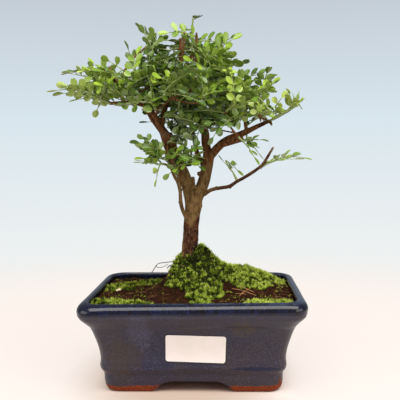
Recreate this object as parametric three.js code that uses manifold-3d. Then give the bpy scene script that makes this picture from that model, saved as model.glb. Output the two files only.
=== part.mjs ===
// Japanese pepper bonsai standing in a rectangular glazed bowl on four bracket feet.
// Millimetres, +Z up. The shapes are drawn round the middle of the bowl, and the whole
// tree is then moved sideways so that the origin lies below the middle of its outline.
import * as THREE from 'three';
import { mergeVertices } from 'three/addons/utils/BufferGeometryUtils.js';
import Module from 'manifold-3d';

const wasm = await Module();
wasm.setup();

// Driving dimensions
const potWidth = 145;
const potDepth = 107;
const potHeight = 60;
const floorUnderside = 7.4;
const floorThickness = 5.6;
const outerCorner = 8;
const innerCorner = 5;
const footSkirt = 14.6;
const footThickness = 9;
const drainRadius = 6;
const drainSpacing = 64;
const gap = 0.3;
const soilLevel = 56.5;
const labelWidth = 37.6;
const labelHeight = 16.6;
const labelThickness = 0.4;
const labelCentre = [1.4, 30];
const labelTilt = -2.1;
const labelCorner = 1.6;
const screenSize = 18.8;
const screenBar = 1.4;
const screenThickness = 1;
const screenHoles = 3;
const sideShift = 9.1;

// The bowl's outside, from the foot up: how far in from the rim's edge, and how high
const bowlOutside = [
  [17.4, 0], [16, 1], [footSkirt, 5], [14.2, 12.6], [12.2, 13.7], [11.8, 17], [12.4, 21.5],
  [11.6, 28], [9.6, 35.5], [7.4, 42.4], [3.9, 47.6], [1.2, 50.2], [0, 53], [0.3, 56.2], [1.5, 59],
  [3.4, potHeight],
];
const floorTop = floorUnderside + floorThickness;
const bowlInside = [
  [19.2, floorTop], [18, 25], [15.8, 36], [12.6, 44], [6.6, 53], [6.6, 57.6], [5.2, potHeight],
  [5.2, potHeight + 1],
];
const bedSides = [
  [19.5, floorTop + gap], [18.3, 25], [16.1, 36], [12.9, 44], [6.9, 53], [6.9, 100],
];
// Half of an opening between two feet: how far out, and how high
const archHalf = [[1, 0], [0.87, 0.56], [0.65, 1]];
const archHalfWidth = 31;
const archHalfDepth = 17;

const v = (x, y, z) => new THREE.Vector3(x, y, z);

// Random numbers that come out the same each time
function seededDraws(seed) {
  let state = seed;
  return (low, high) => {
    state = (state * 16807) % 2147483647;
    return low + (high - low) * (state / 2147483647);
  };
}

function surface(points, faces) {
  const geometry = new THREE.BufferGeometry().setFromPoints(points);
  geometry.setIndex(faces.flat());
  return geometry;
}

function solidFrom(geometry) {
  const bare = geometry.clone();
  bare.deleteAttribute('normal');
  bare.deleteAttribute('uv');
  const merged = mergeVertices(bare, 1e-4);
  return new wasm.Manifold(new wasm.Mesh({
    numProp: 3,
    vertProperties: new Float32Array(merged.attributes.position.array),
    triVerts: new Uint32Array(merged.index.array),
  }));
}

function largestBody(solid) {
  return solid.decompose().sort((a, b) => b.volume() - a.volume())[0];
}

function pieceFrom(name, solid, material, fineness = 0.012) {
  const body = largestBody(solid.simplify(fineness)).getMesh();
  const geometry = new THREE.BufferGeometry();
  geometry.setAttribute('position', new THREE.BufferAttribute(new Float32Array(body.vertProperties), 3));
  geometry.setIndex(new THREE.BufferAttribute(new Uint32Array(body.triVerts), 1));
  geometry.computeVertexNormals();
  const piece = new THREE.Mesh(geometry, material);
  piece.name = name;
  return piece;
}

// A closed skin through rings of equal count, with flat ends
function loft(rings) {
  const count = rings[0].length;
  const points = rings.flat();
  const faces = [];
  for (let ring = 0; ring + 1 < rings.length; ring += 1) {
    for (let side = 0; side < count; side += 1) {
      const a = ring * count + side;
      const b = ring * count + (side + 1) % count;
      faces.push([a, b, b + count], [a, b + count, a + count]);
    }
  }
  const middle = (ring) => ring.reduce((sum, point) => sum.add(point), v(0, 0, 0)).divideScalar(count);
  const start = points.push(middle(rings[0])) - 1;
  const end = points.push(middle(rings.at(-1))) - 1;
  const last = (rings.length - 1) * count;
  for (let side = 0; side < count; side += 1) {
    const next = (side + 1) % count;
    faces.push([start, next, side], [end, last + side, last + next]);
  }
  return surface(points, faces);
}

function rectangleRing(inset, z, corner, steps) {
  const halfWidth = potWidth / 2 - inset;
  const halfDepth = potDepth / 2 - inset;
  const ring = [];
  for (let quarter = 0; quarter < 4; quarter += 1) {
    const cornerX = (quarter === 0 || quarter === 3 ? 1 : -1) * (halfWidth - corner);
    const cornerY = (quarter < 2 ? 1 : -1) * (halfDepth - corner);
    for (let step = 0; step <= steps; step += 1) {
      const angle = (quarter + step / steps) * Math.PI / 2;
      ring.push(v(cornerX + corner * Math.cos(angle), cornerY + corner * Math.sin(angle), z));
    }
  }
  return ring;
}

function bowlSolid(profile, corner, steps) {
  return solidFrom(loft(profile.map(([inset, z]) => rectangleRing(inset, z, corner, steps))));
}

function prism(outline, depth) {
  const shape = new THREE.Shape(outline.map(([x, y]) => new THREE.Vector2(x, y)));
  return new THREE.ExtrudeGeometry(shape, { depth, bevelEnabled: false });
}

// Pot: glazed walls with a rolled lip, a floor with two drain holes, and four bracket feet
function makePot(material) {
  let bowl = bowlSolid(bowlOutside, outerCorner, 3).subtract(bowlSolid(bowlInside, innerCorner, 3));
  const recess = new THREE.BoxGeometry(
    potWidth - 2 * (footSkirt + footThickness),
    potDepth - 2 * (footSkirt + footThickness),
    2 * floorUnderside,
  );
  bowl = bowl.subtract(solidFrom(recess));
  const archOutline = (half) => [
    [half, -1],
    ...archHalf.map(([out, up]) => [half * out, floorUnderside * up]),
    ...archHalf.toReversed().map(([out, up]) => [-half * out, floorUnderside * up]),
    [-half, -1],
  ];
  const alongDepth = prism(archOutline(archHalfWidth), potDepth).rotateX(Math.PI / 2);
  const alongWidth = prism(archOutline(archHalfDepth), potWidth).rotateX(Math.PI / 2).rotateZ(Math.PI / 2);
  bowl = bowl.subtract(solidFrom(alongDepth.translate(0, potDepth / 2, 0)));
  bowl = bowl.subtract(solidFrom(alongWidth.translate(-potWidth / 2, 0, 0)));
  for (const side of [-1, 1]) {
    const drain = new THREE.CylinderGeometry(drainRadius, drainRadius, 4 * floorThickness, 16);
    drain.rotateX(Math.PI / 2).translate(side * drainSpacing / 2, 0, floorTop);
    bowl = bowl.subtract(solidFrom(drain));
  }
  return pieceFrom('pot', bowl, material);
}

// Plastic screens that lie over the drain holes inside the pot
function makeScreen(name, side, material) {
  let screen = solidFrom(new THREE.BoxGeometry(screenSize, screenSize, screenThickness));
  const pitch = (screenSize - screenBar) / screenHoles;
  const open = pitch - screenBar;
  for (let row = 0; row < screenHoles; row += 1) {
    for (let column = 0; column < screenHoles; column += 1) {
      const hole = new THREE.BoxGeometry(open, open, 2 * screenThickness);
      const middle = (screenHoles - 1) / 2;
      hole.translate((column - middle) * pitch, (row - middle) * pitch, 0);
      screen = screen.subtract(solidFrom(hole));
    }
  }
  const placed = screen.translate([side * drainSpacing / 2, 0, floorTop + gap + screenThickness / 2]);
  return pieceFrom(name, placed, material);
}

// Blank paper label that follows the bowl's front wall
function bowlInsetAt(z) {
  const next = bowlOutside.findIndex(([, height]) => height > z);
  const [lowInset, low] = bowlOutside[next - 1];
  const [highInset, high] = bowlOutside[next];
  return lowInset + (highInset - lowInset) * (z - low) / (high - low);
}

function makeLabel(material) {
  const tilt = THREE.MathUtils.degToRad(labelTilt);
  const place = (across, up, out) => {
    const z = labelCentre[1] + up * Math.cos(tilt) + across * Math.sin(tilt);
    const x = labelCentre[0] + across * Math.cos(tilt) - up * Math.sin(tilt);
    return v(x, -(potDepth / 2 - bowlInsetAt(z)) - gap - out, z);
  };
  const lowerHalf = [Math.PI / 2, Math.PI / 4, 0].map((angle) => [
    -labelHeight / 2 + labelCorner * (1 - Math.sin(angle)),
    labelCorner * (1 - Math.cos(angle)),
  ]);
  lowerHalf.push([-labelHeight / 6, 0]);
  const upperHalf = lowerHalf.toReversed().map(([up, inset]) => [-up, inset]);
  const rings = [...lowerHalf, [0, 0], ...upperHalf].map(([up, inset]) => {
    const side = labelWidth / 2 - inset;
    return [
      place(-side, up, labelThickness),
      place(side, up, labelThickness),
      place(side, up, 0),
      place(-side, up, 0),
    ];
  });
  return pieceFrom('blank_label', solidFrom(loft(rings)), material);
}

// The soil's surface: level near the walls, heaped up round the trunk and to its right
const heaps = [
  { x: 4, y: -2, across: 13, deep: 13, height: 17 },
  { x: -3, y: 0, across: 23, deep: 24, height: 11 },
  { x: -13, y: 2, across: 9, deep: 12, height: 9 },
  { x: 26, y: 10, across: 20, deep: 18, height: 11 },
  { x: 42, y: 22, across: 16, deep: 14, height: 6 },
];

function soilHeight(x, y) {
  let height = soilLevel + 0.5 * Math.sin(x / 4.1 + 1.3) * Math.cos(y / 3.7);
  for (const heap of heaps) {
    const away = ((x - heap.x) / heap.across) ** 2 + ((y - heap.y) / heap.deep) ** 2;
    height += heap.height * Math.exp(-away);
  }
  return height;
}

const mossSteepness = 1.5;
const mossLump = 0.6;

// Moss cushions, each made of ovals: centre, half width, half depth and thickness
const mossPatches = {
  moss_mound: [
    [1, -1, 26, 24, 4.4], [26, 10, 27, 21, 4], [44, 24, 20, 17, 3.2], [9, -25, 14, 22, 3.6],
  ],
  moss_left: [[-52, 12, 17, 13, 3.2], [-36, 24, 15, 12, 2.6]],
  moss_front_left: [[-56, -37, 14, 11, 3], [-38, -40, 14, 8, 2.6]],
  moss_front_right: [[50, -36, 18, 11, 3]],
};

function mossThickness(ovals, x, y) {
  const lumps = mossLump * Math.sin(x / 2.7) * Math.sin(y / 2.9 + 0.7);
  const rises = ovals.map(([cx, cy, across, deep, thick]) => (
    mossSteepness * thick * (1 - ((x - cx) / across) ** 2 - ((y - cy) / deep) ** 2)
  ));
  return Math.min(Math.max(...rises) + lumps, Math.max(...ovals.map((oval) => oval[4])) + lumps);
}

// A block whose top follows a height and whose underside is flat
function heightBlock(heightAt, bottom) {
  const columns = 16;
  const rows = 12;
  const halfWidth = potWidth / 2 - 4;
  const halfDepth = potDepth / 2 - 4;
  const points = [];
  const faces = [];
  const rim = [];
  for (let row = 0; row <= rows; row += 1) {
    for (let column = 0; column <= columns; column += 1) {
      const x = -halfWidth + 2 * halfWidth * column / columns;
      const y = -halfDepth + 2 * halfDepth * row / rows;
      points.push(v(x, y, heightAt(x, y)));
    }
  }
  const at = (row, column) => row * (columns + 1) + column;
  for (let row = 0; row < rows; row += 1) {
    for (let column = 0; column < columns; column += 1) {
      const corners = [at(row, column), at(row, column + 1), at(row + 1, column + 1), at(row + 1, column)];
      if ((row + column) % 2) corners.push(corners.shift());
      faces.push([corners[0], corners[1], corners[2]], [corners[0], corners[2], corners[3]]);
    }
  }
  for (let column = 0; column < columns; column += 1) rim.push(at(0, column));
  for (let row = 0; row < rows; row += 1) rim.push(at(row, columns));
  for (let column = columns; column > 0; column -= 1) rim.push(at(rows, column));
  for (let row = rows; row > 0; row -= 1) rim.push(at(row, 0));
  const low = points.length;
  rim.forEach((top) => points.push(v(points[top].x, points[top].y, bottom)));
  const centre = points.push(v(0, 0, bottom)) - 1;
  rim.forEach((top, index) => {
    const next = (index + 1) % rim.length;
    faces.push([low + index, low + next, rim[next]], [low + index, rim[next], top]);
    faces.push([centre, low + next, low + index]);
  });
  return solidFrom(surface(points, faces));
}

// Wood: each route is a list of points with the radius there
const trunkRoute = [
  [-4.6, 0, 37, 4.4], [-4.6, 0, 48, 6.8], [-4.5, 0, 58, 8.4], [-4.4, 0, 70, 7], [-4.3, 0, 84, 5.9],
  [-3.9, 0, 91, 5.5], [-3.4, 0, 98, 5.4], [-3, 0, 105, 5.5], [-2.3, 0, 112, 6], [-1.5, 0, 119, 6.8],
  [-1.1, 0, 124, 5.2], [-1, 0, 128, 2.6],
];
const limbRoutes = {
  leftLimb: [
    [-2.6, 0, 110, 4.4], [-3.6, 0, 121, 5.3], [-5.2, 0, 129.9, 5], [-7.1, -2, 135.6, 4.8],
    [-9.8, -3, 141.9, 4.6], [-13.1, -4, 147.5, 4.5], [-15.4, -5, 154.5, 4.4], [-16.9, -6, 159.9, 4.2],
    [-18.5, -6, 166.4, 3.5],
  ],
  rightLimb: [
    [-2, 0, 112, 4.2], [1, 0, 123, 4.6], [4.5, 1, 129.8, 4.3], [6.7, 1, 136.8, 4.1], [8.1, 2, 143.7, 4],
    [8.9, 2, 150, 4.1], [8.1, 3, 154.2, 3.2], [7.1, 4, 159.8, 3], [6.7, 5, 166.1, 2.9], [4.6, 6, 175.3, 2.7],
    [2.3, 6, 191.7, 2.2], [0.4, 5, 206, 1.7], [-1.8, 5, 221.2, 1.1],
  ],
  rightArm: [
    [8.2, 2, 148, 3.1], [11, 1, 151.4, 3.1], [16.7, -2, 157.6, 2.9], [22.3, -5, 161.7, 2.6],
    [28.5, -7, 164.3, 2.3], [35.3, -9, 167, 2], [42, -10, 170.3, 1.6], [50.4, -12, 173.9, 1.2],
  ],
  leftArm: [
    [-17.4, -6, 163, 2.8], [-22.8, -8, 171.6, 2.3], [-25.4, -9, 176.3, 2.1], [-31.4, -9, 184, 1.8],
    [-38, -12, 186.2, 1.6], [-46, -15, 186.5, 1.4], [-54.7, -18, 186, 1.1],
  ],
  crownBranch: [
    [-22, -7.5, 170.5, 1.9], [-20, -6, 181, 1.8], [-18, -5, 187.4, 1.8], [-11, -4, 197, 1.6],
    [-8.2, -4, 208, 1.4], [-9, -4, 212.3, 1.3], [-9.6, -4, 228, 1],
  ],
  leftWand: [
    [-30, -9, 182.4, 1.5], [-42, -5, 190, 1.2], [-49.6, 0, 195, 1.1], [-50.4, 2, 203, 1],
    [-44.6, 3, 215, 0.9], [-33, 6, 226.2, 0.8],
  ],
  cutLeftTwig: [[-45, -14.6, 186.5, 1.2], [-49, -12, 192, 1.1], [-50, -10, 197, 1.1], [-56, -12, 211, 0.9]],
  lowLeftBranch: [
    [-3.5, -2, 103, 1.5], [-8.4, -6, 114.2, 1.4], [-9.6, -8, 121.4, 1.4], [-9.7, -10, 127.7, 1.3],
    [-11.1, -12, 134, 1.3], [-13.4, -13, 138.2, 1.2], [-16.6, -14, 147.8, 1.1], [-18.3, -14, 153.1, 0.9],
  ],
  lowRightBranch: [
    [2.5, 0, 123, 1.5], [6.7, -2, 125, 1.4], [11, -4, 127.9, 1.4], [18, -8, 129.5, 1.3],
    [23.6, -11, 130.7, 1.3], [28.3, -14, 133.9, 1.2], [34.4, -17, 137.4, 1.2], [42.4, -20, 142.8, 1.1],
    [46.3, -20, 146.8, 1.1], [52.3, -19, 156.7, 0.8],
  ],
  backLimb: [
    [6.5, 2.5, 142, 1.8], [1, 8, 153, 1.7], [-1, 10, 162, 1.6], [-4, 14, 174, 1.5], [-10, 22, 188, 1.2],
  ],
  cutRightTwig: [[35.3, -8.5, 167, 1.3], [34, -8, 174, 1.1], [35.1, -8, 184.6, 0.9]],
  cutTopTwig: [[0.6, 5, 204, 1.2], [1.6, 3, 222, 1], [1.8, 3, 233, 0.8]],
  cutInnerTwig: [[-14.6, -3, 153, 1.4], [-12.4, 1, 164, 1.1], [-10, 3, 168.5, 0.9]],
};
const rootEnds = [[16, 10, 43], [-22, 16, 42], [-26, -12, 44], [2, -24, 42], [20, -12, 45]];

function tube(route, sides, extra = 0, bark = null) {
  const places = route.map(([x, y, z]) => v(x, y, z));
  let across = v(1, 0, 0);
  const rings = places.map((place, index) => {
    const before = places[Math.max(index - 1, 0)];
    const after = places[Math.min(index + 1, places.length - 1)];
    const along = after.clone().sub(before).normalize();
    if (Math.abs(across.dot(along)) > 0.95) across = v(0, 1, 0);
    across = across.clone().addScaledVector(along, -across.dot(along)).normalize();
    const up = along.clone().cross(across);
    const ring = [];
    for (let side = 0; side < sides; side += 1) {
      const angle = 2 * Math.PI * side / sides;
      const radius = (route[index][3] + extra) * (bark ? 1 + bark(-0.07, 0.07) : 1);
      ring.push(place.clone()
        .addScaledVector(across, radius * Math.cos(angle))
        .addScaledVector(up, radius * Math.sin(angle)));
    }
    return ring;
  });
  return solidFrom(loft(rings));
}

// Leafy shoots. Each grows from the end of a woody twig towards a point. It holds leaves that
// reach to given points, and more leaves that are set round it by a rule.
const shoots = [
  { at: [-55, -18.1, 186], to: [-63, -22, 190], leaves: [[-94, -26, 192.6], [-84, -38, 197], [-66, -14, 176]] },
  { at: [-54, -14.5, 203], to: [-60, -17, 206], leaves: [[-89.5, -4, 206.5], [-68, -26, 213]] },
  { at: [-33, 6, 226.5], to: [-30, 7, 230], leaves: [[-42, 9, 242.5], [-12, 2, 227]] },
  { at: [-1.8, 5, 221.6], to: [-1.1, 5, 244.6], leaves: [[8, 2, 244], [-16, 12, 234]] },
  { at: [6, 2, 214], to: [12, -4, 221], leaves: [[30.5, -8, 230], [26, 16, 226]] },
  { at: [14, 4, 203], to: [21, 7, 210], leaves: [[38, 2, 214], [22, 30, 217]] },
  { at: [22, -6, 190], to: [31, -8, 195], leaves: [[47, 2, 202], [40, -28, 197]] },
  { at: [36, -13, 183], to: [44, -14, 192], leaves: [[58, -12, 201], [52, -33, 190]] },
  { at: [50.7, -12, 174.1], to: [69, -16, 184], leaves: [[75, -9, 187], [59, -24, 190], [64, -4, 178]] },
  { at: [30, -16, 163], to: [34, -18, 159], leaves: [[43, -22, 143], [50, -14, 160]] },
  { at: [48.5, -22, 147], to: [52, -24, 147.6], leaves: [[75.5, -30, 147.6]] },
  { at: [28, -17, 136], to: [26, -18, 140], leaves: [[15, -22, 151]] },
  { at: [-19.5, -16, 154], to: [-22, -18, 156], leaves: [[-42, -20, 160.4], [-30, -36, 166]] },
  { at: [-20, -17, 146], to: [-23, -19, 146], leaves: [[-39, -26, 146], [-24, -20, 130]] },
  { at: [-5, -10, 146], to: [-3, -13, 147], leaves: [[8, -24, 141], [4, -10, 160]] },
  { at: [-17, -12.5, 160], to: [-16, -16, 161], leaves: [[-1, -20, 153]] },
  { at: [-24, -20, 182], to: [-27, -26, 186], leaves: [[-48, -34, 182]], more: 2 },
  { at: [-38, -14, 194], to: [-42, -20, 199], leaves: [[-62, -34, 206]], more: 2 },
  { at: [-24, -16, 204], to: [-28, -20, 210], more: 3 },
  { at: [-38, 12, 202], to: [-44, 16, 206], leaves: [[-66, 12, 198]], more: 2 },
  { at: [-22, 12, 212], to: [-25, 15, 219], more: 2 },
  { at: [-30, 24, 192], to: [-37, 30, 196], leaves: [[-58, 34, 196]], more: 1 },
  { at: [-10, -18, 206], to: [-9, -23, 213], more: 3 },
  { at: [-14, -28, 190], to: [-17, -35, 192], more: 3 },
  { at: [8, -20, 202], to: [12, -24, 209], more: 3 },
  { at: [6, -30, 186], to: [8, -37, 189], more: 2 },
  { at: [22, -24, 180], to: [27, -31, 184], more: 3 },
  { at: [2, 22, 214], to: [3, 26, 221], more: 3 },
  { at: [20, 24, 200], to: [26, 30, 204], more: 3 },
  { at: [-10, 32, 200], to: [-11, 39, 203], more: 2 },
  { at: [8, 36, 188], to: [10, 43, 189], more: 2 },
  { at: [36, 12, 184], to: [44, 17, 188], more: 2 },
  { at: [24, 16, 176], to: [31, 22, 176], more: 2 },
  { at: [-13, 8, 222], to: [-17, 11, 226], more: 2 },
  { at: [3, -10, 213], to: [5, -15, 219], more: 2 },
  { at: [-12, 20, 172], to: [-18, 26, 173], more: 2 },
  { at: [6, -14, 170], to: [9, -19, 169], more: 2 },
  { at: [-30, 0, 194], to: [-34, -1, 198], more: 2 },
  { at: [14, 6, 190], to: [18, 3, 194], more: 2 },
  { at: [-8, -20, 180], to: [-10, -26, 181], more: 2 },
  { at: [-46, 22, 188], to: [-52, 26, 190], more: 2 },
  { at: [44, -26, 178], to: [49, -31, 180], more: 2 },
];
const youngShoots = new Set([0, 4, 8, 13, 24, 26]);

const leafletLength = 7.6;
const leafletHalfWidth = 2.55;
const leafletSpacing = 5.5;
const bladeHalfThickness = 0.42;
const rachisHalfWidth = 0.5;
const rachisHalfThickness = 0.45;
const leafletFootHalf = 0.75;
const rachisBeadRadius = 0.7;
const shootRadius = 0.85;
const ownLeafShare = 0.75;
const otherLeafShare = 0.95;
const leafAttempts = 24;
const leafDepthLimit = 50;
const crownCentre = v(-9, 0, 200);
const crownReach = v(78, 51, 39);
const trunkClearance = 0.6;
const shootSeat = 0.6;
const coarseness = 0.2;

// Wood spheres and leaf beads that later leaves keep clear of
const woodBeads = [];
const leafBeads = [];

function addWoodBeads(route) {
  for (let index = 0; index + 1 < route.length; index += 1) {
    const [from, to] = [route[index], route[index + 1]];
    const span = v(...from).distanceTo(v(...to));
    const count = Math.ceil(span / 1.2);
    for (let step = 0; step < count; step += 1) {
      const share = step / count;
      const mix = from.map((value, axis) => value + (to[axis] - value) * share);
      woodBeads.push({ place: v(mix[0], mix[1], mix[2]), radius: mix[3] });
    }
  }
}

// A twig from the nearest wood that lies lower, bent so that it ends in the shoot's direction
function twigRoute(shoot) {
  const tip = v(...shoot.at);
  const along = v(...shoot.to).sub(tip).normalize();
  let parent = null;
  let least = Infinity;
  for (const bead of woodBeads) {
    const offset = bead.place.clone().sub(tip);
    const cost = offset.length() + 1.5 * Math.max(0, offset.z + 4) + 0.5 * Math.abs(offset.y);
    if (cost < least) {
      least = cost;
      parent = bead;
    }
  }
  const reach = parent.place.distanceTo(tip);
  if (reach < 1.5) return null;
  const bend = tip.clone().addScaledVector(along, -0.4 * reach);
  const curve = new THREE.QuadraticBezierCurve3(parent.place, bend, tip);
  const thick = Math.min(parent.radius * 0.8, 0.95 + 0.02 * reach);
  const steps = reach > 14 ? 3 : 2;
  return curve.getPoints(steps).map((place, index) => (
    [place.x, place.y, place.z, thick + (0.9 - thick) * index / steps]
  ));
}

// One compound leaf: an arched blade cut to the rib into leaflets, its thickest line along the ribs
function leafPlan(base, tip, lean, draw) {
  const along = tip.clone().sub(base);
  const length = along.length();
  along.divideScalar(length);
  const side = along.clone().cross(v(0, 0, 1));
  if (side.lengthSq() < 0.05) side.set(0, 1, 0).addScaledVector(along, -along.y);
  side.normalize().applyAxisAngle(along, lean);
  const up = side.clone().cross(along).normalize();
  const arch = draw(0.05, 0.12) * length;
  const fold = draw(0.12, 0.4);
  const pairs = Math.max(1, Math.min(5, Math.floor((length - 9) / leafletSpacing + 0.5)));
  const end = length - leafletLength * 0.92;
  const first = Math.max(end - pairs * leafletSpacing, 1.8);
  const stations = [];
  for (let pair = 0; pair <= pairs; pair += 1) stations.push(first + (end - first) * pair / pairs);
  const placeAt = (s) => base.clone()
    .addScaledVector(along, s)
    .addScaledVector(up, arch * 4 * (s / length) * (1 - s / length));
  const tangentAt = (s) => along.clone().addScaledVector(up, arch * 4 * (1 - 2 * s / length) / length).normalize();
  const leaflets = [];
  const whole = leafletLength * Math.min(1, 0.45 + length / 45);
  stations.forEach((s, index) => {
    const forward = tangentAt(s);
    const normal = side.clone().cross(forward).normalize();
    const size = whole * (0.78 + 0.24 * Math.sin(Math.PI * (index + 0.6) / (pairs + 1)));
    if (index === pairs) {
      leaflets.push({ index, hand: 0, axis: forward, normal, size: whole });
      return;
    }
    for (const hand of [1, -1]) {
      const angle = 1.12 - 0.2 * index / pairs + draw(-0.1, 0.1);
      const lift = fold + draw(-0.12, 0.12);
      const axis = forward.clone().multiplyScalar(Math.cos(angle) * Math.cos(lift))
        .addScaledVector(side, hand * Math.sin(angle) * Math.cos(lift))
        .addScaledVector(normal, Math.sin(lift));
      leaflets.push({ index, hand, axis, normal, size: size * draw(0.94, 1.06) });
    }
  });
  return { base, length, side, stations, placeAt, tangentAt, leaflets };
}

function leafBeadsOf(plan) {
  const beads = [];
  for (const leaflet of plan.leaflets) {
    const root = plan.placeAt(plan.stations[leaflet.index]);
    for (const share of [0.38, 0.76]) {
      const place = root.clone().addScaledVector(leaflet.axis, leaflet.size * share);
      beads.push({ place, radius: leafletHalfWidth });
    }
  }
  for (let s = 2; s < plan.stations.at(-1); s += 1.5) {
    beads.push({ place: plan.placeAt(s), radius: rachisBeadRadius });
  }
  return beads;
}

function leafSolid(plan) {
  const points = [];
  const faces = [];
  const high = (corner) => corner.top ?? corner;
  const low = (corner) => corner.under ?? corner;
  const skin = (a, b, c) => faces.push([high(a), high(b), high(c)], [low(a), low(c), low(b)]);
  const last = plan.stations.length;
  const sections = [0, ...plan.stations].map((s, index) => {
    const place = plan.placeAt(s);
    const forward = plan.tangentAt(s);
    const normal = plan.side.clone().cross(forward).normalize();
    const half = index === 0 || index === last ? 0 : leafletFootHalf;
    const edge = (hand, shift) => points.push(place.clone()
      .addScaledVector(plan.side, hand * rachisHalfWidth)
      .addScaledVector(forward, shift)) - 1;
    const near = { right: edge(1, -half), left: edge(-1, -half) };
    const far = half ? { right: edge(1, half), left: edge(-1, half) } : near;
    const top = points.push(place.clone().addScaledVector(normal, rachisHalfThickness)) - 1;
    const under = points.push(place.clone().addScaledVector(normal, -rachisHalfThickness)) - 1;
    return { near, far, ridge: { top, under } };
  });
  for (let index = 0; index < last; index += 1) {
    const [one, two] = [sections[index], sections[index + 1]];
    skin(one.ridge, one.far.right, two.near.right);
    skin(one.ridge, two.near.right, two.ridge);
    skin(one.ridge, two.ridge, two.near.left);
    skin(one.ridge, two.near.left, one.far.left);
  }
  for (const leaflet of plan.leaflets) {
    const { near, far, ridge } = sections[leaflet.index + 1];
    const root = plan.placeAt(plan.stations[leaflet.index]);
    const broad = leaflet.normal.clone().cross(leaflet.axis).normalize();
    const raise = leaflet.axis.clone().cross(broad).normalize();
    const spot = (out, aside, lift) => points.push(root.clone()
      .addScaledVector(leaflet.axis, leaflet.size * out)
      .addScaledVector(broad, leafletHalfWidth * aside)
      .addScaledVector(raise, lift)) - 1;
    const rim = [spot(0.5, -1, -0.1), spot(0.96, -0.52, -0.25), spot(0.96, 0.52, -0.25), spot(0.5, 1, -0.1)];
    const middle = {
      top: spot(0.55, 0, bladeHalfThickness),
      under: spot(0.55, 0, -bladeHalfThickness),
    };
    let [from, to] = [near.right, near.left];
    if (leaflet.hand > 0) [from, to] = [near.right, far.right];
    if (leaflet.hand < 0) [from, to] = [far.left, near.left];
    const loop = [from, ...rim, to, ridge];
    loop.forEach((corner, step) => skin(middle, corner, loop[(step + 1) % loop.length]));
  }
  const root = sections[0];
  faces.push([root.near.right, root.ridge.top, root.near.left]);
  faces.push([root.near.left, root.ridge.under, root.near.right]);
  return solidFrom(surface(points, faces));
}

// Below 1 inside the egg-shaped crown
function crownShare(place) {
  const offset = place.clone().sub(crownCentre).divide(crownReach);
  return offset.length();
}

function isClear(beads, owner) {
  for (const bead of beads) {
    for (const wood of woodBeads) {
      if (bead.place.distanceTo(wood.place) < bead.radius + wood.radius + gap) return false;
    }
    for (const other of leafBeads) {
      const share = other.owner === owner ? ownLeafShare : otherLeafShare;
      if (bead.place.distanceTo(other.place) < share * (bead.radius + other.radius)) return false;
    }
  }
  return true;
}

// The leaves of one shoot: first those that reach to given points, then those set round it by turns
function growLeaves(shoot, owner, draw) {
  const base = v(...shoot.at);
  const axis = v(...shoot.to).sub(base);
  const reach = axis.length();
  axis.normalize();
  const across = axis.clone().cross(v(0.3, 0.2, 1)).normalize();
  const given = shoot.leaves ?? [];
  const count = given.length + (shoot.more ?? 0);
  const start = draw(0, 2 * Math.PI);
  const plans = [];
  for (let index = 0; index < count; index += 1) {
    const root = base.clone().addScaledVector(axis, reach * (0.95 - 0.6 * index / count));
    for (let attempt = 0; attempt < leafAttempts; attempt += 1) {
      let tip;
      if (index < given.length) {
        const loose = attempt / 3;
        tip = v(...given[index]).add(v(draw(-loose, loose), draw(-loose, loose), draw(-loose, loose)));
      } else {
        const turn = start + (index + 0.37 * attempt) * 2.4;
        const length = draw(24, 32);
        const spread = draw(0.8, 1.75);
        tip = root.clone()
          .addScaledVector(axis, length * Math.cos(spread))
          .addScaledVector(across.clone().applyAxisAngle(axis, turn), length * Math.sin(spread));
      }
      tip.y = Math.max(-leafDepthLimit, Math.min(leafDepthLimit, tip.y));
      const plan = leafPlan(root, tip, draw(-0.45, 0.45), draw);
      const beads = leafBeadsOf(plan);
      const inside = index < given.length || crownShare(tip) < 1;
      if (inside && isClear(beads, owner)) {
        beads.forEach((bead) => leafBeads.push({ ...bead, owner }));
        plans.push(plan);
        break;
      }
    }
  }
  return plans;
}

function shootRoute(shoot) {
  const base = v(...shoot.at);
  const tip = v(...shoot.to);
  base.addScaledVector(tip.clone().sub(base).normalize(), shootSeat);
  return [base, tip].map((place, index) => [place.x, place.y, place.z, shootRadius - 0.2 * index]);
}

const glaze = new THREE.MeshStandardMaterial({ color: '#2b3350', roughness: 0.25, metalness: 0 });
const earth = new THREE.MeshStandardMaterial({ color: '#2d1a12', roughness: 1, metalness: 0 });
const moss = new THREE.MeshStandardMaterial({ color: '#5d7f22', roughness: 1, metalness: 0 });
const bark = new THREE.MeshStandardMaterial({ color: '#6d4a33', roughness: 0.85, metalness: 0 });
const leaf = new THREE.MeshStandardMaterial({ color: '#3f7f2c', roughness: 0.4, metalness: 0 });
const youngLeaf = new THREE.MeshStandardMaterial({ color: '#8fbf3a', roughness: 0.45, metalness: 0 });
const paper = new THREE.MeshStandardMaterial({ color: '#efe9e2', roughness: 0.6, metalness: 0 });
const screenPlastic = new THREE.MeshStandardMaterial({ color: '#2a2a2a', roughness: 0.6, metalness: 0 });

const bonsai = new THREE.Group();
bonsai.position.x = sideShift;

bonsai.add(makePot(glaze));
bonsai.add(makeScreen('drain_screen_left', -1, screenPlastic));
bonsai.add(makeScreen('drain_screen_right', 1, screenPlastic));
bonsai.add(makeLabel(paper));

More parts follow.
